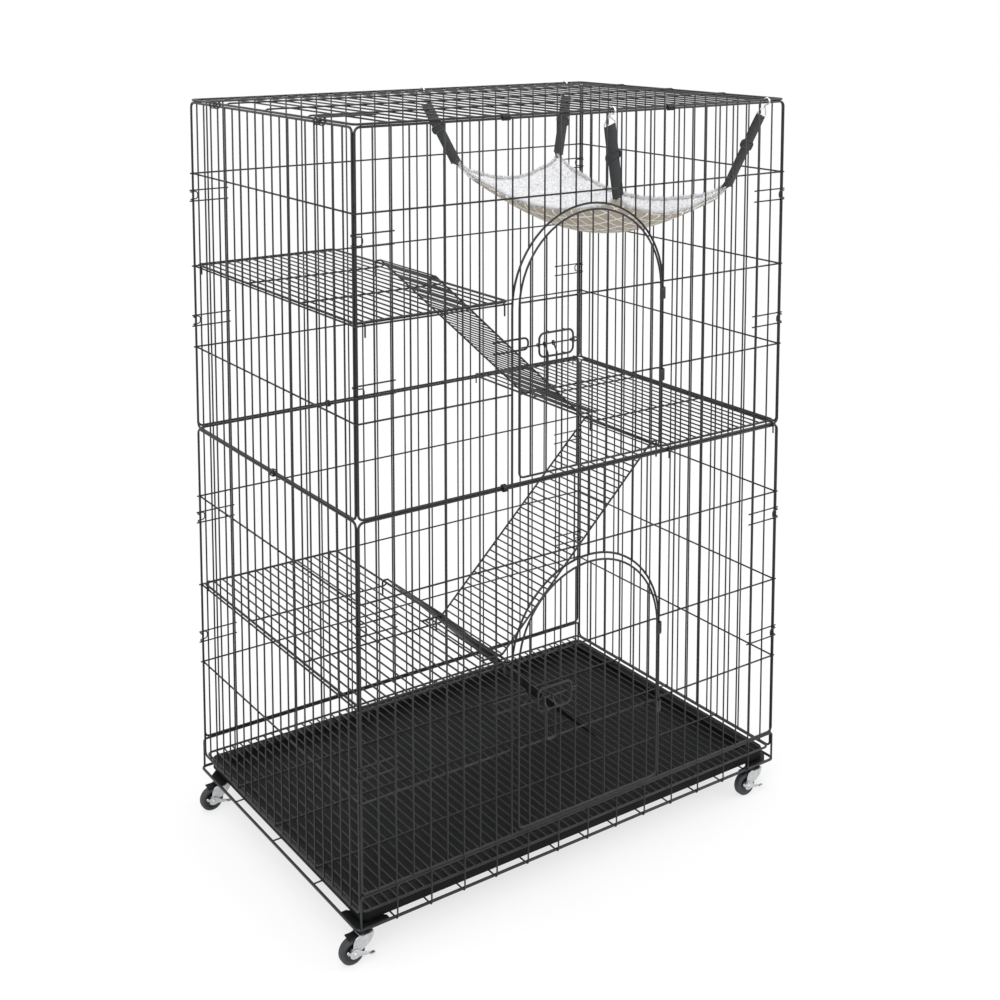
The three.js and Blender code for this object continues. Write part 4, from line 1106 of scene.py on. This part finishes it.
# two cheeks under a crown
def casterFork(corner):
    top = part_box(f"{corner}_caster_fork")[1].z
    pin, axle, wheelHalf = casterPlaces(corner)
    cheek, crown = casterLook["cheek"] * mm, casterLook["crownHalf"] * mm
    inner = wheelHalf + casterLook["cheekGap"] * mm
    shape = newShape()
    for side in sides:
        middle = axle + alongY * side * (inner + cheek / 2)
        outline = [middle + vec(x, 0, z) for x, z in cheekOutline(top - axle.z)]
        addPlate(shape, outline, alongY, cheek, fineEdge)
    roof = [(-crown, -1), (crown, -1), (crown, 1), (-crown, 1)]
    outline = [vec(pin.x + x, pin.y + side * (inner + cheek), top - cheek / 2) for x, side in roof]
    outline = rounded(outline, casterLook["crownBend"] * mm, closed=True, steps=4)
    addPlate(shape, outline, alongZ, cheek, fineEdge)
    addAxle(shape, axle, inner + cheek)
    nodes = [f"{corner}_caster_fork"]
    makePiece(f"{corner}Fork", shape, [finish["zinc"]], f"{corner}_fork", nodes, sharp=35)
    brakeStop(corner, axle, inner, top - casterLook["stopDrop"] * mm)


# black pad over the wheel, behind the crown
def brakeStop(corner, axle, inner, top):
    look = casterLook
    shape = newShape()
    near, far = [], []
    for k in range(9):
        turn = math.radians(look["stopFrom"] + (look["stopTo"] - look["stopFrom"]) * k / 8)
        ray = vec(math.cos(turn), 0, math.sin(turn))
        near.append(axle + ray * (look["wheelR"] + look["stopGap"]) * mm)
        spot = axle + ray * (look["wheelR"] + look["stopTall"]) * mm
        far.append(vec(spot.x, spot.y, min(spot.z, top)))
    addPlate(shape, near + far[::-1], alongY, 2 * (inner - look["stopPlay"] * mm), softEdge)
    makePiece(f"{corner}Stop", shape, [finish["plate"]], f"{corner}_fork", (), sharp=35)


# the second half of a wheel's profile, the first one mirrored
def mirrored(profile):
    return [(radius, -place) for radius, place in reversed(profile)]


# tread with rounded shoulders, dished web and a raised boss, turned round the axle
def casterWheel(corner):
    low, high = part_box(f"{corner}_caster_wheel")
    centre = (low + high) / 2
    half = (high.y - low.y) / 2
    wheel, hub = casterLook["wheelR"] * mm, casterLook["hubR"] * mm
    shape = newShape()
    tread = [(hub, 1.6 * mm - half), (hub + 1.2 * mm, 0.4 * mm - half), (wheel - 3.6 * mm, -half)]
    tread += [(wheel - 1.4 * mm, 1 * mm - half), (wheel - 0.3 * mm, 2.6 * mm - half)]
    flat = [(wheel, -half * 0.45), (wheel, half * 0.45)]
    addTurned(shape, centre, alongY, tread + flat + mirrored(tread), count=64, closed=True)
    core = [(3.4, 0.5), (6.4, 0.5), (7, 1.2), (7.4, 3), (casterLook["hubR"] - 1.6, 3)]
    core.append((casterLook["hubR"] + 0.3, 1.5))
    core = [(radius * mm, inset * mm - half) for radius, inset in core]
    addTurned(shape, centre, alongY, core + mirrored(core), mat=1, closed=True)
    materials = [finish["tread"], finish["hub"]]
    nodes = [f"{corner}_caster_wheel"]
    makePiece(f"{corner}Wheel", shape, materials, f"{corner}_wheel", nodes)


# outline of the stamped lever round its axle, from the catch at its left to the tread's root
leverShape = [(-15, 6.5), (-13, 2.2), (-9, 0.5), (-8, -4), (-4, -7.4), (2, -8), (8, -6.4), (14, -7)]
leverShape += [(20, -8.6), (27, -7.6), (27, -5.4), (16, -1.5), (10, 2), (6, 5.6), (0, 7.2), (-5, 5.2)]
leverShape += [(-9, 4.6), (-12, 8)]


def brakeLever(corner):
    low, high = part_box(f"{corner}_brake_lever")
    axle = casterPlaces(corner)[1]
    thick = casterLook["lever"] * mm
    shape = newShape()
    outline = [vec(axle.x + x * mm, high.y - thick / 2, axle.z + z * mm) for x, z in leverShape]
    addPlate(shape, outline, alongY, thick, fineEdge)
    near, z = axle.x + casterLook["treadFrom"] * mm, axle.z - casterLook["treadDrop"] * mm
    outline = [vec(near, low.y, z), vec(high.x, low.y, z), vec(high.x, high.y, z), vec(near, high.y, z)]
    outline = rounded(outline, casterLook["treadBend"] * mm, closed=True, steps=4)
    addPlate(shape, outline, alongZ, casterLook["tread"] * mm, softEdge)
    nodes = [f"{corner}_brake_lever"]
    makePiece(f"{corner}Lever", shape, [finish["zinc"]], f"{corner}_brake", nodes, sharp=35)


corners = ("front_left", "front_right", "back_left", "back_right")
for corner in corners:
    casterBracket(corner)
    casterFork(corner)
    casterWheel(corner)
    brakeLever(corner)
print("casters drawn")

hammockLook = {
    "hooks": (45, 405),
    "strapTopIn": 3.4,
    "strapTopBack": 10.7,
    "strapTopDrop": 30.9,
    "cornerIn": 51,
    "cornerBack": 45,
    "frontDrop": 160,
    "backDrop": 148,
    "sagLong": 48,
    "sagWide": 36,
    "sagMiddle": 16,
    "tuckLong": 9,
    "tuckWide": 9,
    "fold": 3.2,
    "folds": 3,
    "thick": 6,
    "curl": 1.6,
    "lumpScale": 150,
    "curlScale": 420,
    "rimShare": 0.06,  # of the cloth's half width, over which its face rolls down to the edge
    "cellsWide": 84,
    "cellsLong": 150,
    "strapEndGap": 0.8,
}
roofTop = roofLow.z + rail
hammockMidX = sum(hammockLook["hooks"]) / 2 * mm
hammockHalfWide = (hammockLook["hooks"][1] - hammockLook["hooks"][0]) / 2 * mm - hammockLook["cornerIn"] * mm
hammockHalfLong = halfDeep - hammockLook["cornerBack"] * mm


# a place on the cloth's face, where u and v run from -1 to 1 across and along it
def clothSpot(u, v):
    across, along = 1 - u * u, 1 - v * v
    look = hammockLook
    drop = look["frontDrop"] + (look["backDrop"] - look["frontDrop"]) * (v + 1) / 2
    sag = look["sagWide"] * across + look["sagLong"] * along + look["sagMiddle"] * across * along
    ripple = look["fold"] * (u * v) ** 2 * math.cos(look["folds"] * math.pi * (u * u - v * v))
    return at(
        hammockMidX + u * (hammockHalfWide - look["tuckWide"] * mm * along),
        v * (hammockHalfLong - look["tuckLong"] * mm * across),
        roofTop + (ripple - look["fold"] - drop - sag) * mm,
    )


def clothNormal(u, v, step=0.01):
    du = clothSpot(min(u + step, 1), v) - clothSpot(max(u - step, -1), v)
    dv = clothSpot(u, min(v + step, 1)) - clothSpot(u, max(v - step, -1))
    return du.cross(dv).normalized()


# lumpy plush above and plain lattice cloth below, which meet in a rolled rim
def clothSide(spot, u, v, below):
    thick, curl = hammockLook["thick"] * mm, hammockLook["curl"] * mm
    rim = min(1, min(1 - abs(u), (1 - abs(v)) * 2) / hammockLook["rimShare"])
    roll = math.sqrt(max(0.0, 1 - (1 - rim) ** 2))
    normal = clothNormal(u, v)
    if below:
        return spot - normal * thick * (0.5 + 0.5 * roll)
    coarse, fine = hammockLook["lumpScale"], hammockLook["curlScale"]
    lump = noise.noise(spot * coarse) + 0.6 * noise.noise(spot * fine)
    return spot - normal * thick * 0.5 * (1 - roll) + normal * curl * lump * (0.4 + 0.6 * roll)


# how wide and long the cloth is cut, along its middle lines, and its area as it hangs
def clothMeasures(grid, wide, long):
    flatWide = sum((grid[long // 2][i + 1] - grid[long // 2][i]).length for i in range(wide))
    flatLong = sum((grid[j + 1][wide // 2] - grid[j][wide // 2]).length for j in range(long))
    area = 0.0
    for j in range(long):
        for i in range(wide):
            a, b, c, d = grid[j][i], grid[j][i + 1], grid[j + 1][i + 1], grid[j + 1][i]
            area += ((b - a).cross(c - a).length + (c - a).cross(d - a).length) / 2
    return flatWide, flatLong, area


def hammockCloth():
    shape = newShape()
    wide, long = hammockLook["cellsWide"], hammockLook["cellsLong"]
    grid = [[clothSpot(2 * i / wide - 1, 2 * j / long - 1) for i in range(wide + 1)] for j in range(long + 1)]
    flatWide, flatLong, area = clothMeasures(grid, wide, long)
    index, lay = {}, {}
    for below in (0, 1):
        for j in range(long + 1):
            for i in range(wide + 1):
                u, v = 2 * i / wide - 1, 2 * j / long - 1
                index[below, i, j] = len(shape["verts"])
                shape["verts"].append(clothSide(grid[j][i], u, v, below))
                lay[below, i, j] = (u * flatWide / 2, v * flatLong / 2)
    cells = []
    for j in range(long):
        for i in range(wide):
            cells.append((0, [(0, i, j), (0, i + 1, j), (0, i + 1, j + 1), (0, i, j + 1)]))
            cells.append((1, [(1, i, j), (1, i, j + 1), (1, i + 1, j + 1), (1, i + 1, j)]))
    rim = [(i, 0) for i in range(wide)] + [(wide, j) for j in range(long)]
    rim += [(i, long) for i in range(wide, 0, -1)] + [(0, j) for j in range(long, 0, -1)]
    for spot, after in zip(rim, rim[1:] + rim[:1]):
        cells.append((0, [(0, *spot), (1, *spot), (1, *after), (0, *after)]))
    for mat, keys in cells:
        addFace(shape, [index[key] for key in keys], mat, [lay[key] for key in keys])
    materials = [finish["plush"], finish["lattice"]]
    cloth = makePiece("hammockCloth", shape, materials, "root", ["hammock_cloth"], sharp=180)
    print(f"hammock cut {flatWide:.3f} by {flatLong:.3f} m, area {area:.3f}")
    return cloth, (flatWide, flatLong), area


tuftLook = {
    "field": 7000,
    "fringe": 5200,
    "long": 2.8,
    "fringeLong": 9.0,
    "shortest": 0.45,  # of the length
    "wide": 2.0,
    "lean": 0.8,
    "edge": 0.99,  # shares of the cloth's half width and half length
    "sideFrom": 0.95,
    "endFrom": 0.975,
    "sideShare": 0.6,  # of the fringe, along the two sides
    "seed": 11,
}


# short curls of pile on the face, and longer ones that break its outline along the edges
def hammockPile():
    shape = newShape()
    look, edge = tuftLook, tuftLook["edge"]
    chance = random.Random(look["seed"])
    for n in range(look["field"] + look["fringe"]):
        u, v = chance.uniform(-edge, edge), chance.uniform(-edge, edge)
        tall = look["long"] * mm
        lean = vec(chance.uniform(-1, 1), chance.uniform(-1, 1), chance.uniform(-0.3, 0.6))
        if n >= look["field"]:
            tall = look["fringeLong"] * mm
            if chance.random() < look["sideShare"]:
                u = math.copysign(chance.uniform(look["sideFrom"], edge), u)
                lean.x = math.copysign(chance.uniform(0, 1), u)
            else:
                v = math.copysign(chance.uniform(look["endFrom"], edge), v)
                lean.y = math.copysign(chance.uniform(0, 1), v)
        normal = clothNormal(u, v)
        way = (normal + lean * look["lean"]).normalized()
        spot = clothSpot(u, v) - normal * 0.5 * mm
        across = way.orthogonal().normalized()
        start = addRing(shape, spot, across, way.cross(across), look["wide"] * mm / 2, 3)
        shape["verts"].append(spot + way * tall * chance.uniform(look["shortest"], 1))
        for k in range(3):
            addFace(shape, (start + k, start + (k + 1) % 3, start + 3))
        addFace(shape, (start + 2, start + 1, start))
    makePiece("hammockPile", shape, [finish["plush"]], "root", (), sharp=180)


strapLook = {
    "wide": 24,
    "thick": 1.5,
    "steps": 26,
    "bow": 0.48,
    "tail": 46,
    "tailSteps": 12,
    "tailBow": 0.5,
    "tabIn": 3,
    "tabRise": 1.2,
    "tabTaper": 0.6,
}


# one of the four corners: where the strap's top and end lie, and the directions along it
def strapPlaces(wayX, wayY):
    look = hammockLook
    hook = at(look["hooks"][0 if wayX > 0 else 1] * mm, -wayY * halfDeep, 0)
    top = vec(hook.x, hook.y, roofTop)
    top += vec(wayX * look["strapTopIn"], wayY * look["strapTopBack"], -look["strapTopDrop"]) * mm
    corner = clothSpot(-wayX, -wayY)
    up = (top - corner).normalized()
    wide = (alongX - up * up.x).normalized()
    end = corner + up * look["strapEndGap"] * mm
    return {"hook": hook, "top": top, "end": end, "up": up, "wide": wide, "out": up.cross(wide)}


# a flat woven strap along a line of points, with its lay for the weave
def addRibbon(shape, path, place, width, thick, taper=0.0):
    rings = []
    travelled = 0.0
    for i, here in enumerate(path):
        if i:
            travelled += (here - path[i - 1]).length
        half = width / 2 * (1 - taper * i / (len(path) - 1))
        soft = min(thick * 0.45, half * 0.5)
        flat, deep = half - soft, thick / 2
        ring = [(-half, soft - deep), (-flat, -deep), (flat, -deep), (half, soft - deep)]
        ring += [(-x, -y) for x, y in ring]
        rings.append((len(shape["verts"]), travelled, [x for x, y in ring]))
        shape["verts"] += [here + place["wide"] * x + place["out"] * y for x, y in ring]
    for (a, travelA, spanA), (b, travelB, spanB) in zip(rings, rings[1:]):
        for k in range(8):
            n = (k + 1) % 8
            uvs = [(spanA[k], travelA), (spanA[n], travelA), (spanB[n], travelB), (spanB[k], travelB)]
            addFace(shape, (a + k, a + n, b + n, b + k), 0, uvs)
    for start, order in ((rings[0][0], reversed(range(8))), (rings[-1][0], range(8))):
        addFace(shape, [start + k for k in order], 0, [(0.0, 0.0)] * 8)


# the strap, its end doubled above the buckle, and the loop over the hook's bail
def strapPiece(corner, place):
    shape = newShape()
    look = strapLook
    top, end, up, out = place["top"], place["end"], place["up"], place["out"]
    width, thick = look["wide"] * mm, look["thick"] * mm
    path, double = [], []
    for k in range(look["steps"] + 1):
        share = k / look["steps"]
        path.append(top.lerp(end, share) + out * math.sin(math.pi * share) * look["bow"] * mm)
    addRibbon(shape, path, place, width, thick)
    reach = look["tail"] * mm / (top - end).length
    for k in range(look["tailSteps"] + 1):
        share = k / look["tailSteps"]
        lift = thick * 1.05 + math.sin(math.pi * share) * look["tailBow"] * mm
        double.append(top.lerp(end, share * reach) + out * lift)
    addRibbon(shape, double, place, width * 0.98, thick)
    centre = top + up * 0.2 * mm + out * thick * 0.5
    loop = []
    for k in range(9):
        turn = math.pi * k / 8
        loop.append(centre - out * math.cos(turn) * thick * 0.55 + up * math.sin(turn) * 1.1 * mm)
    addRibbon(shape, loop, place, width * 0.99, thick * 0.8)
    nodes = [f"{corner}_strap"]
    makePiece(f"{corner}Webbing", shape, [finish["strap"]], "root", nodes, sharp=50)


# the strap's end, sewn over the cloth's corner as a folded tab
def cornerPatch(corner, place, u, v):
    shape = newShape()
    look = strapLook
    start = place["end"] + place["up"] * look["tabIn"] * mm
    end = clothSpot(u * 0.95, v * 0.975) + clothNormal(u * 0.95, v * 0.975) * look["tabRise"] * mm
    path = [start.lerp(end, k / 8) for k in range(9)]
    addRibbon(shape, path, place, look["wide"] * mm, look["thick"] * mm * 1.2, look["tabTaper"])
    makePiece(f"{corner}Tab", shape, [finish["strap"]], "root", (), sharp=50)


buckleLook = {
    "share": 0.42,  # of the strap's length, from its top
    "tall": 17,
    "wide": 32,
    "rod": 1.9,
    "bend": 3.2,
    "barShare": 0.28,
    "barOut": 1.6,
    "lugThick": 3.2,
}


# a slide: a rounded frame with two bars across and a lug at each side
def strapBuckle(corner, place):
    look = buckleLook
    wide, up, out = place["wide"], place["up"], place["out"]
    centre = place["top"].lerp(place["end"], look["share"]) + out * 0.6 * mm
    rod = look["rod"] * mm
    halfWide, halfTall = look["wide"] * mm / 2 - rod, look["tall"] * mm / 2 - rod
    shape = newShape()
    loop = [centre + wide * a * halfWide + up * b * halfTall for a, b in ((-1, -1), (1, -1), (1, 1), (-1, 1))]
    addTube(shape, rounded(loop, look["bend"] * mm, closed=True), rod, closed=True, count=12)
    for side in sides:
        bar = centre + up * side * look["barShare"] * look["tall"] * mm + out * look["barOut"] * mm
        addTube(shape, [bar - wide * halfWide, bar + wide * halfWide], rod * 0.8)
    for side in sides:
        lug = centre + wide * side * (halfWide + rod * 0.4) + out * 0.6 * mm
        spots = [(0, -5), (1.4, -2.6), (1.4, 2.6), (0, 5), (-2, 2), (-2, -2)]
        outline = [lug + wide * side * x * mm + up * y * mm for x, y in spots]
        addPlate(shape, outline, out, look["lugThick"] * mm, softEdge)
    nodes = [f"{corner}_strap_buckle"]
    makePiece(f"{corner}Slide", shape, [finish["hub"]], "root", nodes)


hookLook = {
    "rod": 2.3,
    "ringInner": 5.0,
    "bailHalf": 14,
    "bailNeck": 3,
    "bailTall": 14,
    "bailBend": 2.6,
    "apexRise": 1.5,
    "stemIn": 3,
}


# a three-cornered bail, a swivel, and a ring with its sprung gate round the roof's rail
def snapHook(corner, place):
    look = {key: value * mm for key, value in hookLook.items()}
    rod = look["rod"] / 2
    wide, up, out = place["wide"], place["up"], place["out"]
    base = place["top"] + up * 1.4 * mm + out * 0.8 * mm
    shape = newShape()
    half, neck, tall = look["bailHalf"], look["bailNeck"], look["bailTall"]
    bail = [base + wide * x + up * y for x, y in ((-half, 0), (half, 0), (neck, tall), (-neck, tall))]
    addTube(shape, rounded(bail, look["bailBend"], closed=True), rod, closed=True)
    apex = base + up * (tall + look["apexRise"])
    centre = vec(place["hook"].x, place["hook"].y, roofSeam)
    toward = (centre - apex).normalized()
    ringOut = look["ringInner"] + rod
    swivel = [(1.2, 0), (2.1, 0.6), (2.1, 4), (1.4, 5), (1.2, 6)]
    profile = [(radius * rod, reach * mm) for radius, reach in swivel]
    addTurned(shape, apex - toward * mm, toward, profile, count=20)
    addTube(shape, [apex + toward * look["stemIn"], centre - toward * (ringOut + rod)], rod * 1.15)
    addHoop(shape, centre, ringOut, rod)
    reach = ringOut * 0.98
    gate = [vec(1.9 * rod, math.cos(turn) * reach, math.sin(turn) * reach) for turn in (2.2, 2.7, 3.2, 3.7)]
    addTube(shape, [centre + spot for spot in gate], rod * 0.7)
    nodes = [f"{corner}_snap_hook"]
    makePiece(f"{corner}Snap", shape, [finish["bright"]], "root", nodes)


cloth, clothCut, clothArea = hammockCloth()
hammockPile()
for corner in corners:
    wayX, wayY = (1 if corner.endswith("left") else -1), (1 if corner.startswith("front") else -1)
    place = strapPlaces(wayX, wayY)
    strapPiece(corner, place)
    cornerPatch(corner, place, -wayX, -wayY)
    strapBuckle(corner, place)
    snapHook(corner, place)
min(clothArea, clothCut[0] * clothCut[1])
print("hammock drawn")

stageLook = {
    "floorHalf": 9.0,
    "floorTone": "#fafafa",
    "near": 0.6,  # from here to the far value, in metres, the floor fades into the backdrop
    "far": 1.7,
    "glow": 0.72,
    "worldGlow": 0.62,
}
lampLook = {
    "keyLamp": {"place": (-2.4, -2.6, 3.4), "aim": (0, 0, 0.7), "size": 2.2, "power": 90},
    "fillLamp": {"place": (2.8, -1.8, 2.2), "aim": (0, 0, 0.7), "size": 2.4, "power": 40},
    "topLamp": {"place": (0, 0.6, 4.0), "aim": (0, 0, 0.8), "size": 2.6, "power": 60},
}
cameraLook = {
    "target": (25.29, 0, 1126.5),
    "azimuth": -35.003,
    "elevation": 6.055,
    "distance": 2690.0,
    "focal": 1465.55,  # in pixels of a picture 1000 wide
    "sensor": 36.0,
    "shiftY": -0.354755,
}


# 1 for the rays that see the backdrop itself, 0 for those that carry its light on to the cage
def seenRays(tree):
    path = tree.nodes.new("ShaderNodeLightPath").outputs
    seen = path["Is Camera Ray"]
    for kind in ("Is Glossy Ray", "Is Transmission Ray"):
        seen = mathNode(tree, "MAXIMUM", seen, path[kind])
    return seen


# one surface for the rays that see it and another for the rest
def mixSurface(tree, factor, plain, seen, output):
    mix = newNode(tree, "ShaderNodeMixShader", {"Fac": factor, 1: plain, 2: seen})
    setSockets(tree, tree.nodes[output], {"Surface": mix.outputs["Shader"]})


def stageFloor():
    mesh = bpy.data.meshes.new("studioFloor")
    half = stageLook["floorHalf"]
    spots = [(-half, -half, 0), (half, -half, 0), (half, half, 0), (-half, half, 0)]
    mesh.from_pydata(spots, [], [(0, 1, 2, 3)])
    floor = bpy.data.objects.new("studioFloor", mesh)
    bpy.context.scene.collection.objects.link(floor)
    material, tree, shader, place = newFinish("studioFloor", 0.9)
    setSockets(tree, shader, {"Base Color": linear(stageLook["floorTone"]), "Specular IOR Level": 0.1})
    white = newNode(tree, "ShaderNodeEmission", {}).outputs["Emission"]
    reach = newNode(tree, "ShaderNodeVectorMath", {0: place["Object"]})
    reach.operation = "LENGTH"
    sockets = {"Value": reach.outputs["Value"], "From Min": stageLook["near"], "From Max": stageLook["far"]}
    sockets["To Min"] = stageLook["glow"]
    fade = newNode(tree, "ShaderNodeMapRange", sockets)
    fade.interpolation_type = "SMOOTHSTEP"
    share = mathNode(tree, "MULTIPLY", fade.outputs["Result"], seenRays(tree))
    mixSurface(tree, share, shader.outputs["BSDF"], white, "Material Output")
    mesh.materials.append(material)


def studioWorld():
    world = bpy.data.worlds.new("studio")
    bpy.context.scene.world = world
    world.use_nodes = True
    tree = world.node_tree
    soft = tree.nodes["Background"]
    setSockets(tree, soft, {"Color": (1, 1, 1, 1), "Strength": stageLook["worldGlow"]})
    plain = newNode(tree, "ShaderNodeBackground", {"Color": (1, 1, 1, 1), "Strength": 1.0})
    mixSurface(tree, seenRays(tree), soft.outputs["Background"], plain.outputs["Background"], "World Output")


def softLamp(name, look):
    lamp = bpy.data.lights.new(name, "AREA")
    lamp.size = look["size"]
    lamp.energy = look["power"]
    piece = bpy.data.objects.new(name, lamp)
    piece.location = look["place"]
    piece.rotation_euler = (Vector(look["aim"]) - Vector(look["place"])).to_track_quat("-Z", "Y").to_euler()
    bpy.context.scene.collection.objects.link(piece)


def studioCamera():
    look = cameraLook
    camera = bpy.data.cameras.new("studioCamera")
    camera.sensor_width = look["sensor"]
    camera.lens = look["focal"] / 1000 * look["sensor"]
    camera.shift_y = look["shiftY"]
    camera.clip_end = 100
    piece = bpy.data.objects.new("studioCamera", camera)
    turn, rise = math.radians(look["azimuth"]), math.radians(look["elevation"])
    back = vec(math.sin(turn) * math.cos(rise), -math.cos(turn) * math.cos(rise), math.sin(rise))
    x, y, z = (value * mm for value in look["target"])
    piece.location = at(x, y, tierSpan("lower")[0] + z) + back * look["distance"] * mm
    piece.rotation_euler = (-back).to_track_quat("-Z", "Y").to_euler()
    bpy.context.scene.collection.objects.link(piece)
    bpy.context.scene.camera = piece


stageFloor()
studioWorld()
for name, look in lampLook.items():
    softLamp(name, look)
studioCamera()
bpy.context.scene.view_settings.view_transform = "Standard"
print("stage set")
